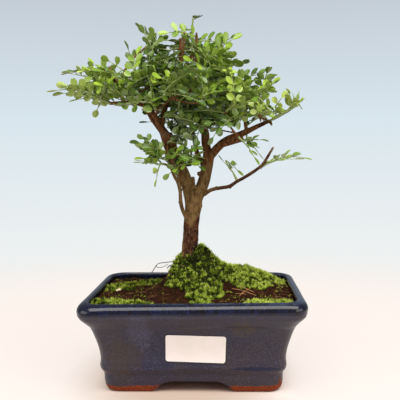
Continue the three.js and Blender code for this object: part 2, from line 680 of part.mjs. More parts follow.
// Every woody route is settled before the leaves, so that they can keep clear of all of it
const routes = [trunkRoute, ...Object.values(limbRoutes)];
routes.forEach(addWoodBeads);
for (const shoot of shoots) {
  const twig = twigRoute(shoot);
  if (twig) {
    routes.push(twig);
    addWoodBeads(twig);
  }
}
const rootRoutes = rootEnds.map(([x, y, z]) => [
  [-4.6, 0, 56, 4.6], [x * 0.4 - 3, y * 0.45, 52, 3.2], [x, y, z, 1.4],
]);
const barkDraw = seededDraws(4127);
const sidesFor = (route) => {
  if (route === trunkRoute) return 10;
  if (route[0][3] > 4) return 8;
  if (route[0][3] > 2.5) return 6;
  return route[0][3] > 1.3 ? 5 : 4;
};
const wood = wasm.Manifold.union([...routes, ...rootRoutes].map((route) => (
  tube(route, sidesFor(route), 0, route[0][3] > 3 ? barkDraw : null)
)));
bonsai.add(pieceFrom('trunk_and_branches', wood, bark, coarseness));

// The bed: soil and moss, with a plain hole round the buried wood
const bedSpace = bowlSolid(bedSides, innerCorner, 3);
const trunkSpace = wasm.Manifold.union([trunkRoute, ...rootRoutes].map((route) => {
  const [x, y, z, radius] = route.at(-1);
  const first = route[0];
  const longer = route === trunkRoute ? [[first[0], first[1], first[2] - gap, first[3]], ...route.slice(1)] : route;
  return tube(longer, sidesFor(route), trunkClearance).add(tube([[x, y, z, radius], [x, y, z - 1, radius]], 6));
}));
const soilTop = heightBlock(soilHeight, floorTop - 1);
let soil = soilTop.intersect(bedSpace).subtract(trunkSpace);
for (const side of [-1, 1]) {
  const pocket = new THREE.BoxGeometry(screenSize + 2 * gap, screenSize + 2 * gap, 2 * (screenThickness + 2 * gap));
  soil = soil.subtract(solidFrom(pocket.translate(side * drainSpacing / 2, 0, floorTop)));
}
bonsai.add(pieceFrom('soil', soil, earth, coarseness));
const raisedSoil = heightBlock((x, y) => soilHeight(x, y) + gap, floorTop - 1);
for (const [name, ovals] of Object.entries(mossPatches)) {
  const mossTop = heightBlock((x, y) => soilHeight(x, y) + mossThickness(ovals, x, y), floorTop - 1);
  const patch = mossTop.subtract(raisedSoil).intersect(bedSpace).subtract(trunkSpace);
  bonsai.add(pieceFrom(name, patch, moss, coarseness));
}

const shootTubes = shoots.map(shootRoute);
shootTubes.forEach((route, owner) => {
  const [from, to] = route.map(([x, y, z]) => v(x, y, z));
  for (let step = 0; step <= 4; step += 1) {
    leafBeads.push({ place: from.clone().lerp(to, step / 4), radius: shootRadius, owner });
  }
});
shoots.forEach((shoot, owner) => {
  const draw = seededDraws(1009 + 37 * owner);
  const plans = growLeaves(shoot, owner, draw);
  const solids = [tube(shootTubes[owner], 5), ...plans.map(leafSolid)];
  const number = String(owner + 1).padStart(2, '0');
  const material = youngShoots.has(owner) ? youngLeaf : leaf;
  bonsai.add(pieceFrom(`leafy_shoot_${number}`, wasm.Manifold.union(solids), material));
});

export default bonsai;
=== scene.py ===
import math

import bmesh
import bpy
import numpy as np
from mathutils import Matrix, Vector, noise
from mathutils.kdtree import KDTree


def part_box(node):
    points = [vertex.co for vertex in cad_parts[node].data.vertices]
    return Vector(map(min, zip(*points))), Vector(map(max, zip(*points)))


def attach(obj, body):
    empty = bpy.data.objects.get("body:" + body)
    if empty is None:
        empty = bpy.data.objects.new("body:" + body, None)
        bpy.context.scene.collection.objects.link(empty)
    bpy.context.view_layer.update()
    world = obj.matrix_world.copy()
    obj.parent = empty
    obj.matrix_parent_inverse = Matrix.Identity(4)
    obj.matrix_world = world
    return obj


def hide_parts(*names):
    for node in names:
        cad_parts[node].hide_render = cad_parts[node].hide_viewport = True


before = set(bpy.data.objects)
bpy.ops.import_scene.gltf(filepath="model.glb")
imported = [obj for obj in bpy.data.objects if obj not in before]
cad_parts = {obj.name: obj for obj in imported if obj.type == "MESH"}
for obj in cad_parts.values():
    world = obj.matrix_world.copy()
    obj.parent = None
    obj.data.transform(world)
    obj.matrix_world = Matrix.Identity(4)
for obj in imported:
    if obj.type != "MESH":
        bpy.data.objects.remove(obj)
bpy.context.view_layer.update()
mm = 0.001
potLow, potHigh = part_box("pot")
potCentre = (potLow.x + potHigh.x) / 2  # metres; the drawn shapes are in mm round this line

# General tools


def pickUp(*parts):
    if bpy.context.object and bpy.context.object.mode != "OBJECT":
        bpy.ops.object.mode_set(mode="OBJECT")
    bpy.ops.object.select_all(action="DESELECT")
    for part in parts:
        part.select_set(True)
    bpy.context.view_layer.objects.active = parts[0]


def editMode(part, kind="VERT"):
    pickUp(part)
    bpy.ops.object.mode_set(mode="EDIT")
    bpy.ops.mesh.select_mode(type=kind)
    bpy.ops.mesh.select_all(action="DESELECT")


def choose(part, kind, test):
    shape = bmesh.from_edit_mesh(part.data)
    for each in getattr(shape, kind):
        if test(each):
            each.select_set(True)
    bmesh.update_edit_mesh(part.data)


def objectMode():
    bpy.ops.object.mode_set(mode="OBJECT")


def applyModifier(part, kind, **settings):
    pickUp(part)
    modifier = part.modifiers.new(kind.lower(), kind)
    for name, value in settings.items():
        setattr(modifier, name, value)
    bpy.ops.object.modifier_apply(modifier=modifier.name)


def settle(part):
    pickUp(part)
    bpy.ops.object.transform_apply(location=True, rotation=True, scale=True)


def cutAway(part, cutter):
    settle(cutter)
    applyModifier(part, "BOOLEAN", operation="DIFFERENCE", solver="EXACT", object=cutter)
    bpy.data.objects.remove(cutter)


def smoothShade(part, degrees):
    pickUp(part)
    bpy.ops.object.shade_smooth_by_angle(angle=math.radians(degrees))


def faceOutwards(part):
    editMode(part, "FACE")
    bpy.ops.mesh.select_all(action="SELECT")
    bpy.ops.mesh.normals_make_consistent(inside=False)
    objectMode()


def takeShape(part):  # the points and faces of a model that is to be copied
    points = np.array([vertex.co for vertex in part.data.vertices])
    faces = [tuple(face.vertices) for face in part.data.polygons]
    bpy.data.objects.remove(part)
    return points, faces


def pieceFromArrays(name, points, faces):
    mesh = bpy.data.meshes.new(name)
    places = np.asarray(points, float) * mm + [potCentre, 0, 0]
    mesh.from_pydata(places.tolist(), [], [list(face) for face in faces])
    part = bpy.data.objects.new(name, mesh)
    bpy.context.scene.collection.objects.link(part)
    return part


def pointValues(part, name, values):
    attribute = part.data.attributes.new(name, "FLOAT", "POINT")
    attribute.data.foreach_set("value", np.asarray(values, np.float32))


def handOver(part, name, slot, material, *nodes):
    part.name = name
    part.data.name = name
    part.data.materials.clear()
    part.data.materials.append(material)
    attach(part, "root")
    if nodes:
        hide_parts(*nodes)


def seededDraws(seed):
    state = seed

    def draw(low, high):
        nonlocal state
        state = state * 16807 % 2147483647
        return low + (high - low) * (state / 2147483647)

    return draw


def curveThrough(points, steps):
    points = np.asarray(points, float)
    ends = np.vstack([2 * points[0] - points[1], points, 2 * points[-1] - points[-2]])
    result = []
    for index in range(len(points) - 1):
        before, start, end, after = ends[index:index + 4]
        for step in range(steps):
            t = step / steps
            result.append(0.5 * (
                2 * start + (end - before) * t
                + (2 * before - 5 * start + 4 * end - after) * t ** 2
                + (3 * start - before - 3 * end + after) * t ** 3))
    result.append(points[-1])
    return np.array(result)


def unit(vector):
    return vector / np.sqrt(vector @ vector)


def turned(vector, axis, angle):
    return (vector * math.cos(angle) + np.cross(axis, vector) * math.sin(angle)
            + axis * (axis @ vector) * (1 - math.cos(angle)))


# A wire is a node's output that adds, scales and compares like a number


class Wire:
    def __init__(self, recipe, socket):
        self.recipe = recipe
        self.socket = socket

    def maths(self, operation, other=0.0, flip=False):
        first, second = (other, self) if flip else (self, other)
        return self.recipe.node("ShaderNodeMath", {"operation": operation}, {0: first, 1: second})

    def __add__(self, other):
        return self.maths("ADD", other)

    def __radd__(self, other):
        return self.maths("ADD", other, True)

    def __sub__(self, other):
        return self.maths("SUBTRACT", other)

    def __rsub__(self, other):
        return self.maths("SUBTRACT", other, True)

    def __mul__(self, other):
        return self.maths("MULTIPLY", other)

    def between(self, low, high):
        return self.recipe.node("ShaderNodeMapRange", {"interpolation_type": "SMOOTHSTEP"},
                                {"Value": self, "From Min": low, "From Max": high})


class Recipe:
    def __init__(self, name, kind="materials", shader="Principled BSDF", **constants):
        self.material = getattr(bpy.data, kind).new(name)
        self.material.use_nodes = True
        self.tree = self.material.node_tree
        self.shader = self.tree.nodes[shader]
        for socket, value in constants.items():
            self.shader.inputs[socket.replace("_", " ")].default_value = value
        self.place = self.node("ShaderNodeTexCoord", {}, {}, "Object")

    def node(self, kind, settings, sockets, output=0):
        made = self.tree.nodes.new(kind)
        for name, value in settings.items():
            if name == "stops":
                ramp = made.color_ramp
                while len(ramp.elements) < len(value):
                    ramp.elements.new(0.5)
                for element, (position, colour) in zip(ramp.elements, value):
                    element.position = position
                    element.color = tint(colour)
            else:
                setattr(made, name, value)
        for name, value in sockets.items():
            if isinstance(value, Wire):
                self.tree.links.new(value.socket, made.inputs[name])
            else:
                made.inputs[name].default_value = value
        return Wire(self, made.outputs[output])

    def mix(self, share, first, second):
        return self.node("ShaderNodeMix", {"data_type": "RGBA"},
                         {0: share, 6: tint(first), 7: tint(second)}, 2)

    def grain(self, size, detail=3.0, roughness=0.55, stretch=(1, 1, 1), distortion=0.0):
        spot = self.node("ShaderNodeMapping", {}, {"Vector": self.place, "Scale": stretch})
        return self.node("ShaderNodeTexNoise", {}, {
            "Vector": spot, "Scale": 1 / (size * mm), "Detail": detail,
            "Roughness": roughness, "Distortion": distortion})

    def cells(self, size):
        return self.node("ShaderNodeTexVoronoi", {}, {"Vector": self.place, "Scale": 1 / (size * mm)})

    def axis(self, index):
        return self.node("ShaderNodeSeparateXYZ", {}, {0: self.place}, index)

    def value(self, name):
        return self.node("ShaderNodeAttribute", {"attribute_name": name}, {}, "Fac")

    def relief(self, height, depth, strength):
        return self.node("ShaderNodeBump", {}, {
            "Strength": strength, "Distance": depth * mm, "Height": height})

    def feed(self, **links):
        for name, wire in links.items():
            self.tree.links.new(wire.socket, self.shader.inputs[name.replace("_", " ")])
        return self.material


def tint(colour):
    return colour if isinstance(colour, Wire) else (*colour, 1)


# Camera, light and table

viewpoint = {
    "place": (0.03685, -0.45477, 0.15701),
    "lens": 59.8,
    "yaw": -3.1015,  # degrees, to the left
    "pitch": 4.5618,  # degrees, down
    "roll": -0.472,
}


def placeCamera():
    yaw, pitch, roll = (math.radians(viewpoint[name]) for name in ("yaw", "pitch", "roll"))
    forward = Vector((math.sin(yaw) * math.cos(pitch), math.cos(yaw) * math.cos(pitch),
                      -math.sin(pitch)))
    level = Vector((math.cos(yaw), -math.sin(yaw), 0))
    upright = level.cross(forward)
    right = level * math.cos(roll) + upright * math.sin(roll)
    up = upright * math.cos(roll) - level * math.sin(roll)
    camera = bpy.data.objects.new("camera", bpy.data.cameras.new("camera"))
    camera.data.sensor_width = 36
    camera.data.lens = viewpoint["lens"]
    camera.data.clip_start = 0.01
    camera.data.clip_end = 50
    turn = Matrix((right, up, -forward)).transposed().to_4x4()
    camera.matrix_world = Matrix.Translation(viewpoint["place"]) @ turn
    bpy.context.scene.collection.objects.link(camera)
    bpy.context.scene.camera = camera


studio = {
    "lamps": [  # place, aim, size, watts, colour
        ((0.1, -0.42, 1), (0, 0, 0.12), (1.4, 0.9), 24, (1, 0.98, 0.95)),
        ((-0.95, -0.5, 0.35), (0, 0, 0.05), (0.9, 0.6), 4.5, (0.96, 0.98, 1)),
        ((0.95, -0.6, 0.35), (0, 0, 0.05), (0.9, 0.6), 5, (1, 0.98, 0.95)),
    ],
    "roomLight": 0.38,  # share of the sky's brightness that falls on the things
    "sky": [  # height of the view ray over its length, colour there
        (-0.4, (0.60, 0.45, 0.36)), (-0.27, (0.95, 0.88, 0.83)), (-0.16, (0.86, 0.885, 0.88)),
        (0.04, (0.69, 0.79, 0.85)), (0.21, (0.55, 0.61, 0.675)), (0.5, (0.46, 0.52, 0.6)),
    ],
    "table": [(0.6, 0.455, 0.36), (0.85, 0.77, 0.72)],  # near the pot, darkened and warmed by painted shade and painted warm bounce light from the pot, and further out
    # distances over which the painted shade near the pot gives way to the table's own colour
    "tableShadeReach": (0.05, 0.13),
    "weave": (0.6, 0.55, 0.5),
    "weaveShare": 0.06,
    "tableGlow": 0.95,
    "darkUnderPot": 0.85,
    "underPot": (0.058, 0.042),  # half width and half depth of the table's part without glow
    "tableRadius": 0.62,
    "tableFade": (0.2, 0.55),
}


def hangLamps():
    for index, (place, aim, size, watts, colour) in enumerate(studio["lamps"]):
        lamp = bpy.data.lights.new(f"lamp{index}", "AREA")
        lamp.shape = "RECTANGLE"
        lamp.size, lamp.size_y = size
        lamp.energy = watts
        lamp.color = colour
        holder = bpy.data.objects.new(f"lamp{index}", lamp)
        holder.location = place
        holder.rotation_euler = (Vector(aim) - Vector(place)).to_track_quat("-Z", "Y").to_euler()
        bpy.context.scene.collection.objects.link(holder)


def paintRoom():
    room = Recipe("paleRoom", "worlds", "Background")
    direction = room.node("ShaderNodeTexCoord", {}, {}, "Generated")
    lowest, highest = studio["sky"][0][0], studio["sky"][-1][0]
    level = room.node("ShaderNodeMapRange", {}, {
        "Value": room.node("ShaderNodeSeparateXYZ", {}, {0: direction}, "Z"),
        "From Min": lowest, "From Max": highest})
    stops = [((height - lowest) / (highest - lowest), colour) for height, colour in studio["sky"]]
    seen = room.node("ShaderNodeLightPath", {}, {}, "Is Camera Ray")
    bpy.context.scene.world = room.feed(
        Color=room.node("ShaderNodeValToRGB", {"stops": stops}, {"Fac": level}),
        Strength=room.node("ShaderNodeMapRange", {}, {"Value": seen, "To Min": studio["roomLight"]}))


def layTable():
    bpy.ops.mesh.primitive_circle_add(vertices=96, radius=studio["tableRadius"], fill_type="NGON",
                                      location=(0, 0, -0.0002))
    table = bpy.context.object
    table.name = "table_top"
    cloth = Recipe("tableTop", Roughness=0.75, Emission_Strength=studio["tableGlow"])
    weave = cloth.grain(3, 3)
    wider = cloth.node("ShaderNodeVectorMath", {"operation": "MULTIPLY"}, {0: cloth.place, 1: (1.5, 1, 1)})
    # painted shade and painted warm bounce light: the table is darker and warmer close to the pot
    nearShade = cloth.node("ShaderNodeVectorMath", {"operation": "LENGTH"}, {0: wider}, "Value")
    colour = cloth.mix(nearShade.between(*studio["tableShadeReach"]), *studio["table"])
    colour = cloth.mix(weave * studio["weaveShare"], colour, studio["weave"])
    # a little light of its own softens the shadows, but not under the pot
    wide, deep = studio["underPot"]
    across = (cloth.axis("X") - potCentre).maths("ABSOLUTE") * (1 / wide)
    along = cloth.axis("Y").maths("ABSOLUTE") * (1 / deep)
    clear = across.maths("MAXIMUM", along).between(0.85, 1.2)
    distance = cloth.node("ShaderNodeVectorMath", {"operation": "LENGTH"}, {0: cloth.place}, "Value")
    table.data.materials.append(cloth.feed(
        Base_Color=cloth.mix(clear * studio["darkUnderPot"], colour, (0, 0, 0)),
        Emission_Color=cloth.mix(clear, (0, 0, 0), colour),
        Alpha=1 - distance.between(*studio["tableFade"])))


bpy.context.scene.view_settings.view_transform = "Standard"
placeCamera()
hangLamps()
paintRoom()
layTable()
print("camera, lamps and table in place")

# Pot

bowl = {  # mm
    "width": 145,
    "depth": 107,
    "corner": 8,
    "cornerSteps": 5,
    "sideCuts": 17,
    "outside": [  # inset from the rim's edge, height
        (17.4, 0), (16, 1), (14.6, 5), (14.3, 10.8), (13.7, 12.6), (12.6, 14.4), (12.1, 17.2),
        (12.5, 21.5), (11.6, 28), (9.6, 35.5), (7.2, 42.4), (5.4, 45), (3.4, 47.3), (1.9, 49), (1, 50.4),
        (0.45, 51.7), (0.2, 52.9), (0.1, 54.1), (0.15, 55.5), (0.6, 57), (1.4, 58.2), (2.6, 59.1),
        (4.2, 59.7),
    ],
    "inside": [
        (5.5, 59.9), (6.3, 59.2), (6.6, 57.6), (6.6, 53), (12.6, 44), (15.8, 36), (18, 25), (19.2, 13),
    ],
    "stepsBetween": 3,
    "floorUnderside": 7.4,
    "footThickness": 9,
    "footSkirt": 14.6,
    "archHalfWidth": 31,
    "archHalfDepth": 17,
    "archTop": 0.7,  # how narrow an arch is at its top
    "archRound": 8,
    "drainRadius": 6,
    "drainSpacing": 64,
    "softEdge": 0.45,
}
wallCurve = curveThrough(bowl["outside"], bowl["stepsBetween"])


def wallInset(height):
    return float(np.interp(height, wallCurve[:, 1], wallCurve[:, 0]))


def makeArch(halfWidth, length, turn):
    bpy.ops.mesh.primitive_cube_add(size=1, location=(potCentre, 0, 0))
    arch = bpy.context.object
    arch.scale = (2 * halfWidth * mm, length * mm, 2 * bowl["floorUnderside"] * mm)
    arch.rotation_euler = (0, 0, turn)
    settle(arch)
    editMode(arch, "FACE")
    choose(arch, "faces", lambda face: face.normal.z > 0.9)
    narrow = bowl["archTop"]
    bpy.ops.transform.resize(value=(1, narrow, 1) if turn else (narrow, 1, 1),
                             center_override=(potCentre, 0, 0))
    bpy.ops.mesh.select_all(action="DESELECT")
    bpy.ops.mesh.select_mode(type="EDGE")
    along = 0 if turn else 1
    choose(arch, "edges", lambda edge: min(v.co.z for v in edge.verts) > 0
           and abs(edge.verts[0].co[along] - edge.verts[1].co[along]) > length * mm * 0.9)
    bpy.ops.mesh.bevel(offset=bowl["archRound"] * mm, segments=6)
    objectMode()
    return arch


def extrudeRing(low, high):  # from one inset and height to the next
    bpy.ops.mesh.extrude_region_move(TRANSFORM_OT_translate={"value": (0, 0, (high[1] - low[1]) * mm)})
    bpy.ops.transform.resize(
        value=((bowl["width"] - 2 * high[0]) / (bowl["width"] - 2 * low[0]),
               (bowl["depth"] - 2 * high[0]) / (bowl["depth"] - 2 * low[0]), 1),
        center_override=(potCentre, 0, 0))


def makePot():
    rings = curveThrough(bowl["outside"] + bowl["inside"], bowl["stepsBetween"])
    bpy.ops.mesh.primitive_plane_add(size=1, location=(potCentre, 0, 0))
    pot = bpy.context.object
    inset = rings[0][0]
    pot.scale = ((bowl["width"] - 2 * inset) * mm, (bowl["depth"] - 2 * inset) * mm, 1)
    settle(pot)
    editMode(pot)
    bpy.ops.mesh.select_all(action="SELECT")
    bpy.ops.mesh.bevel(offset=bowl["corner"] * mm, segments=bowl["cornerSteps"], affect="VERTICES")
    bpy.ops.mesh.select_mode(type="FACE")
    bpy.ops.mesh.select_all(action="SELECT")
    bpy.ops.mesh.delete(type="ONLY_FACE")
    bpy.ops.mesh.select_mode(type="EDGE")
    choose(pot, "edges", lambda edge: edge.calc_length() > 3 * bowl["corner"] * mm)
    bpy.ops.mesh.subdivide(number_cuts=bowl["sideCuts"])
    bpy.ops.mesh.select_all(action="SELECT")
    for low, high in zip(rings, rings[1:]):
        extrudeRing(low, high)
    bpy.ops.mesh.edge_face_add()
    bpy.ops.mesh.select_all(action="DESELECT")
    choose(pot, "edges", lambda edge: all(v.co.z < 1e-6 for v in edge.verts))
    bpy.ops.mesh.edge_face_add()
    faceOutwards(pot)
    waves(pot)
    size = bowl["footSkirt"] + bowl["footThickness"]
    bpy.ops.mesh.primitive_cube_add(size=1, location=(potCentre, 0, 0))
    recess = bpy.context.object
    recess.scale = ((bowl["width"] - 2 * size) * mm, (bowl["depth"] - 2 * size) * mm,
                    2 * bowl["floorUnderside"] * mm)
    cutAway(pot, recess)
    cutAway(pot, makeArch(bowl["archHalfWidth"], 1.2 * bowl["depth"], 0))
    cutAway(pot, makeArch(bowl["archHalfDepth"], 1.2 * bowl["width"], math.pi / 2))
    for side in (-1, 1):
        bpy.ops.mesh.primitive_cylinder_add(
            vertices=32, radius=bowl["drainRadius"] * mm, depth=30 * mm,
            location=(potCentre + side * bowl["drainSpacing"] / 2 * mm, 0, 10 * mm))
        cutAway(pot, bpy.context.object)
    applyModifier(pot, "BEVEL", width=bowl["softEdge"] * mm, segments=2, limit_method="ANGLE",
                  angle_limit=math.radians(38), use_clamp_overlap=True)
    smoothShade(pot, 40)
    return pot


handmade = {  # mm
    "waveDepth": 0.45,
    "waveSize": 34,
    # the ridges that fingers left round the wall: height, its rise and fall, their length and start,
    # depth, half height, length and start of the ridge's own coming and going
    "ridges": [(45, 1.5, 17, 0, 1.1, 1.6, 23, 1), (16.4, 0.9, 15, 0.4, 0.45, 1.1, 19, 2.2)],
    "dent": (33, 43.5, 6, 2.2, 0.9),  # across, height, reach across, reach up, depth
    "bow": (1.1, 22),  # how high the ledge bows up in the middle of the front, and how wide
    # how far each corner is out of true: front left, front right, back left, back right
    "rim": [(-1.7, -0.6, -1.1), (0.8, 0, 0.9), (1.1, 0, 1.2), (-2.4, 0, 1.4)],
    "foot": [(-0.2, -4.4, 0), (-0.4, -0.6, 0), (0, 0, 0), (0, 0, 0)],
}


def outOfTrue(across, front, height):  # mm
    rightward = min(1, max(0, 0.5 + across / bowl["width"]))
    backward = min(1, max(0, 0.5 + front / bowl["depth"]))
    upward = min(1, max(0, height / bowl["inside"][0][1]))
    shares = ((1 - rightward) * (1 - backward), rightward * (1 - backward),
              (1 - rightward) * backward, rightward * backward)
    rim = np.dot(shares, handmade["rim"])
    foot = np.dot(shares, handmade["foot"])
    return rim * upward + foot * (1 - upward)


def waves(pot):  # the walls wander a little, as pressed clay does
    for vertex in pot.data.vertices:
        across = (vertex.co.x - potCentre) / mm
        height = vertex.co.z / mm
        free = min(1, max(0, (height - 1) / 8)) * min(1, max(0, (59.5 - height) / 6))
        lift = handmade["waveDepth"] * noise.noise(vertex.co / (handmade["waveSize"] * mm))
        for level, swing, length, start, deep, tall, fade, fadeStart in handmade["ridges"]:
            away = height - level - swing * math.sin(across / length + start)
            lift += deep * math.exp(-(away / tall) ** 2) * (0.5 + 0.5 * math.sin(across / fade + fadeStart))
        if vertex.co.y < 0:
            middle, level, wide, tall, deep = handmade["dent"]
            lift -= deep * math.exp(-((across - middle) / wide) ** 2 - ((height - level) / tall) ** 2)
        vertex.co += vertex.normal * lift * free * mm
        if 7 < height < 19:
            rise, wide = handmade["bow"]
            vertex.co.z += rise * (1 - abs(height - 13) / 6) * math.exp(-(across / wide) ** 4) * mm
        vertex.co += Vector(outOfTrue(across, vertex.co.y / mm, height) * mm)


glazing = {
    "body": [(0.023, 0.021, 0.038), (0.035, 0.025, 0.028)],
    "brownBlotch": (0.04, 0.028, 0.02),
    "blueSpeckle": (0.068, 0.068, 0.12),
    "darkSpeckle": (0.014, 0.009, 0.012),
    "freckle": (0.026, 0.015, 0.011),
    "shoulder": (0.057, 0.049, 0.06),
    "ledge": (0.03, 0.019, 0.016),
    "rim": [(0.005, 0.006, 0.02), (0.006, 0.004, 0.005)],
    "rimFleck": (0.035, 0.045, 0.12),
    # a painted highlight on the top of the lip
    "lipHighlight": (0.07, 0.09, 0.15),
    "clay": [(0.12, 0.017, 0.003), (0.24, 0.043, 0.008)],
    "shoulderLine": (34, 46),  # mm: heights between which one colour gives way to the next
    "ledgeLine": (16, 7),
    "rimLine": (52.4, 53.8),
    "lipLine": (58.8, 60.2),
    "feetLine": (4.9, 4.1),
    "archLine": (14, 9),
    "recessLine": 8.2,
    "spots": {  # on the front, mm: centre across and up, reach across and up
        "olive": ((32, 44), (9, 6)),
        "drip": ((-33, 43), (9, 13)),
        "thin": ((-44, 24), (12, 16)),
        "pool": ((41, 16.4), (18, 1.5)),
    },
    "olive": (0.07, 0.052, 0.028),
    "drip": (0.075, 0.07, 0.11),
    "thin": (0.048, 0.032, 0.021),
    "pool": (0.005, 0.008, 0.03),
}


def spot(across, height, name, edge):  # 1 inside an oval with a ragged border
    (middle, level), (wide, tall) = glazing["spots"][name]
    sideways = (across - middle * mm) * (1 / (wide * mm))
    upwards = (height - level * mm) * (1 / (tall * mm))
    return (sideways * sideways + upwards * upwards + (edge - 0.5) * 4).between(1.2, 0.2)


def levels(name, height):
    low, high = glazing[name]
    return height.between(low * mm, high * mm)


def recessMask(across, front):  # 1 within the feet's inner faces
    wide, deep = ((bowl[side] / 2 - bowl["footSkirt"] - 1) * mm for side in ("width", "depth"))
    across, front = across.maths("ABSOLUTE"), front.maths("ABSOLUTE")
    return across.between(wide, wide - 0.001) * front.between(deep, deep - 0.001)


def glazeFinish():
    glaze = Recipe("blueGlaze", Specular_IOR_Level=0.22, Coat_Roughness=0.06)
    height = glaze.axis("Z")
    across = glaze.axis("X") - potCentre
    front = glaze.axis("Y")
    drift = glaze.grain(26, 4, 0.6, (1, 1, 0.55), 0.6)
    blotch = glaze.grain(11, 4, 0.65, (1, 1, 0.6), 0.9)
    speckle = glaze.grain(0.85, 2, 0.75)
    freckle = glaze.grain(2.6, 3, 0.6)
    body = glaze.mix(drift.between(0.34, 0.64), *glazing["body"])
    body = glaze.mix(blotch.between(0.54, 0.74) * 0.5, body, glazing["brownBlotch"])
    body = glaze.mix(speckle.between(0.5, 0.66) * 0.6, body, glazing["blueSpeckle"])
    body = glaze.mix(speckle.between(0.44, 0.3) * 0.6, body, glazing["darkSpeckle"])
    body = glaze.mix(freckle.between(0.6, 0.74) * 0.5, body, glazing["freckle"])
    body = glaze.mix(levels("shoulderLine", height) * 0.3, body, glazing["shoulder"])
    body = glaze.mix(levels("ledgeLine", height) * 0.3, body, glazing["ledge"])
    # olive blotch right of the label, a paler drip and a thin place left of it, a dark pool on the ledge
    forward = front.between(0.02, -0.03)
    ragged = glaze.grain(6, 4, 0.75)
    olive, drip, thin, pool = (spot(across, height, name, ragged) * forward
                               for name in ("olive", "drip", "thin", "pool"))
    body = glaze.mix(olive * freckle.between(0.3, 0.6) * 0.6, body, glazing["olive"])
    body = glaze.mix(drip * speckle.between(0.3, 0.6) * 0.65, body, glazing["drip"])
    body = glaze.mix(thin * 0.5, body, glazing["thin"])
    body = glaze.mix(pool * speckle.between(0.3, 0.5) * 0.9, body, glazing["pool"])
    streak = glaze.grain(5, 4, 0.7, (1, 1, 0.45), 0.5)
    fleck = glaze.grain(0.9, 3, 0.7)
    rim = glaze.mix(streak.between(0.35, 0.65), *glazing["rim"])
    rim = glaze.mix(fleck.between(0.48, 0.66) * streak.between(0.7, 0.3) * 0.45, rim, glazing["rimFleck"])
    # the dark glaze ends in a sharp line below the rim, which climbs a little to the right
    isRim = levels("rimLine", height - across * 0.012 + (drift - 0.5) * 0.0025)
    colour = glaze.mix(isRim, body, rim)
    # painted highlight: pale blue on the top of the lip, broken up by the blotches
    lipHighlight = levels("lipLine", height) * blotch.between(0.35, 0.6)
    colour = glaze.mix(lipHighlight * 0.35, colour, glazing["lipHighlight"])
    clay = glaze.mix(glaze.grain(1.4, 4, 0.7).between(0.35, 0.7), *glazing["clay"])
    # no glaze on the feet, under the arches and in the recess
    line = glaze.grain(15, 3, 0.6)
    feet = levels("feetLine", height + (line - 0.5) * 0.006)
    normal = glaze.node("ShaderNodeNewGeometry", {}, {}, "Normal")
    down = glaze.node("ShaderNodeSeparateXYZ", {}, {0: normal}, "Z").between(-0.35, -0.6)
    below = height.maths("LESS_THAN", glazing["recessLine"] * mm)
    bare = feet.maths("MAXIMUM", down * levels("archLine", height))
    bare = bare.maths("MAXIMUM", recessMask(across, front) * below)
    matt = 0.34 + isRim * (fleck.between(0.45, 0.65) * 0.12 - 0.22)
    matt = matt + bare * 0.5 + blotch.between(0.5, 0.8) * 0.1
    pits = glaze.cells(5.5).between(0.09, 0.0) * drift.between(0.45, 0.6)
    bumps = glaze.grain(1.1, 3, 0.6) * (0.1 + bare * 0.9) + drift * 0.9 + pits * -0.5
    gloss = (1 - bare) * (0.08 + isRim * (0.1 + fleck.between(0.65, 0.4) * 0.25))
    return glaze.feed(Base_Color=glaze.mix(bare, colour, clay), Roughness=matt, Coat_Weight=gloss,
                      Normal=glaze.relief(bumps, 0.5, 0.7))


pot = makePot()
handOver(pot, "glazed_pot", "glaze", glazeFinish(), "pot")
print("pot thrown and glazed:", len(pot.data.polygons), "faces")

# Paper label, blank

label = {  # mm
    "width": 37.8,
    "height": 18,
    "corner": 1.6,
    "centre": (2.3, 29.7),
    "tilt": -2.1,  # degrees
    "thickness": 0.18,
    "rows": 11,
    "lift": 0.57,  # how far its middle stands off the true wall, which wanders under it
    "paper": [(0.8, 0.71, 0.67), (0.76, 0.68, 0.63)],
}


def makeLabel():
    bpy.ops.mesh.primitive_plane_add(size=1, location=(0, 0, 0), rotation=(math.pi / 2, 0, 0))
    paper = bpy.context.object
    paper.scale = (label["width"] * mm, label["height"] * mm, 1)
    settle(paper)
    editMode(paper)
    bpy.ops.mesh.select_all(action="SELECT")
    bpy.ops.mesh.bevel(offset=label["corner"] * mm, segments=5, affect="VERTICES")
    for step in range(1, label["rows"]):
        height = (step / label["rows"] - 0.5) * label["height"] * mm
        bpy.ops.mesh.select_all(action="SELECT")
        bpy.ops.mesh.bisect(plane_co=(0, 0, height), plane_no=(0, 0, 1))
    objectMode()
    tilt = math.radians(label["tilt"])
    for vertex in paper.data.vertices:
        across, up = vertex.co.x, vertex.co.z
        height = label["centre"][1] * mm + up * math.cos(tilt) + across * math.sin(tilt)
        front = -(bowl["depth"] / 2 - wallInset(height / mm) + label["lift"]) * mm
        sideways = label["centre"][0] * mm + across * math.cos(tilt) - up * math.sin(tilt)
        shift = Vector(outOfTrue(sideways / mm, front / mm, height / mm) * mm)
        vertex.co = Vector((potCentre + sideways, front, height)) + shift
    applyModifier(paper, "SOLIDIFY", thickness=label["thickness"] * mm, offset=0)
    smoothShade(paper, 40)
    return paper


def paperFinish():
    paper = Recipe("coatedPaper", Coat_Weight=0.25, Coat_Roughness=0.2)
    fibres = paper.grain(0.5, 3, 0.6)
    shade = paper.grain(9, 2, 0.5)
    colour = paper.mix(shade.between(0.3, 0.7), *label["paper"])
    return paper.feed(Base_Color=colour, Roughness=0.42 + fibres * 0.1,
                      Normal=paper.relief(fibres, 0.03, 0.4))


paper = makeLabel()
handOver(paper, "paper_label", "label_paper", paperFinish(), "blank_label")
print("label stuck on")

# Plastic screens over the drain holes keep their shape and get their finish here

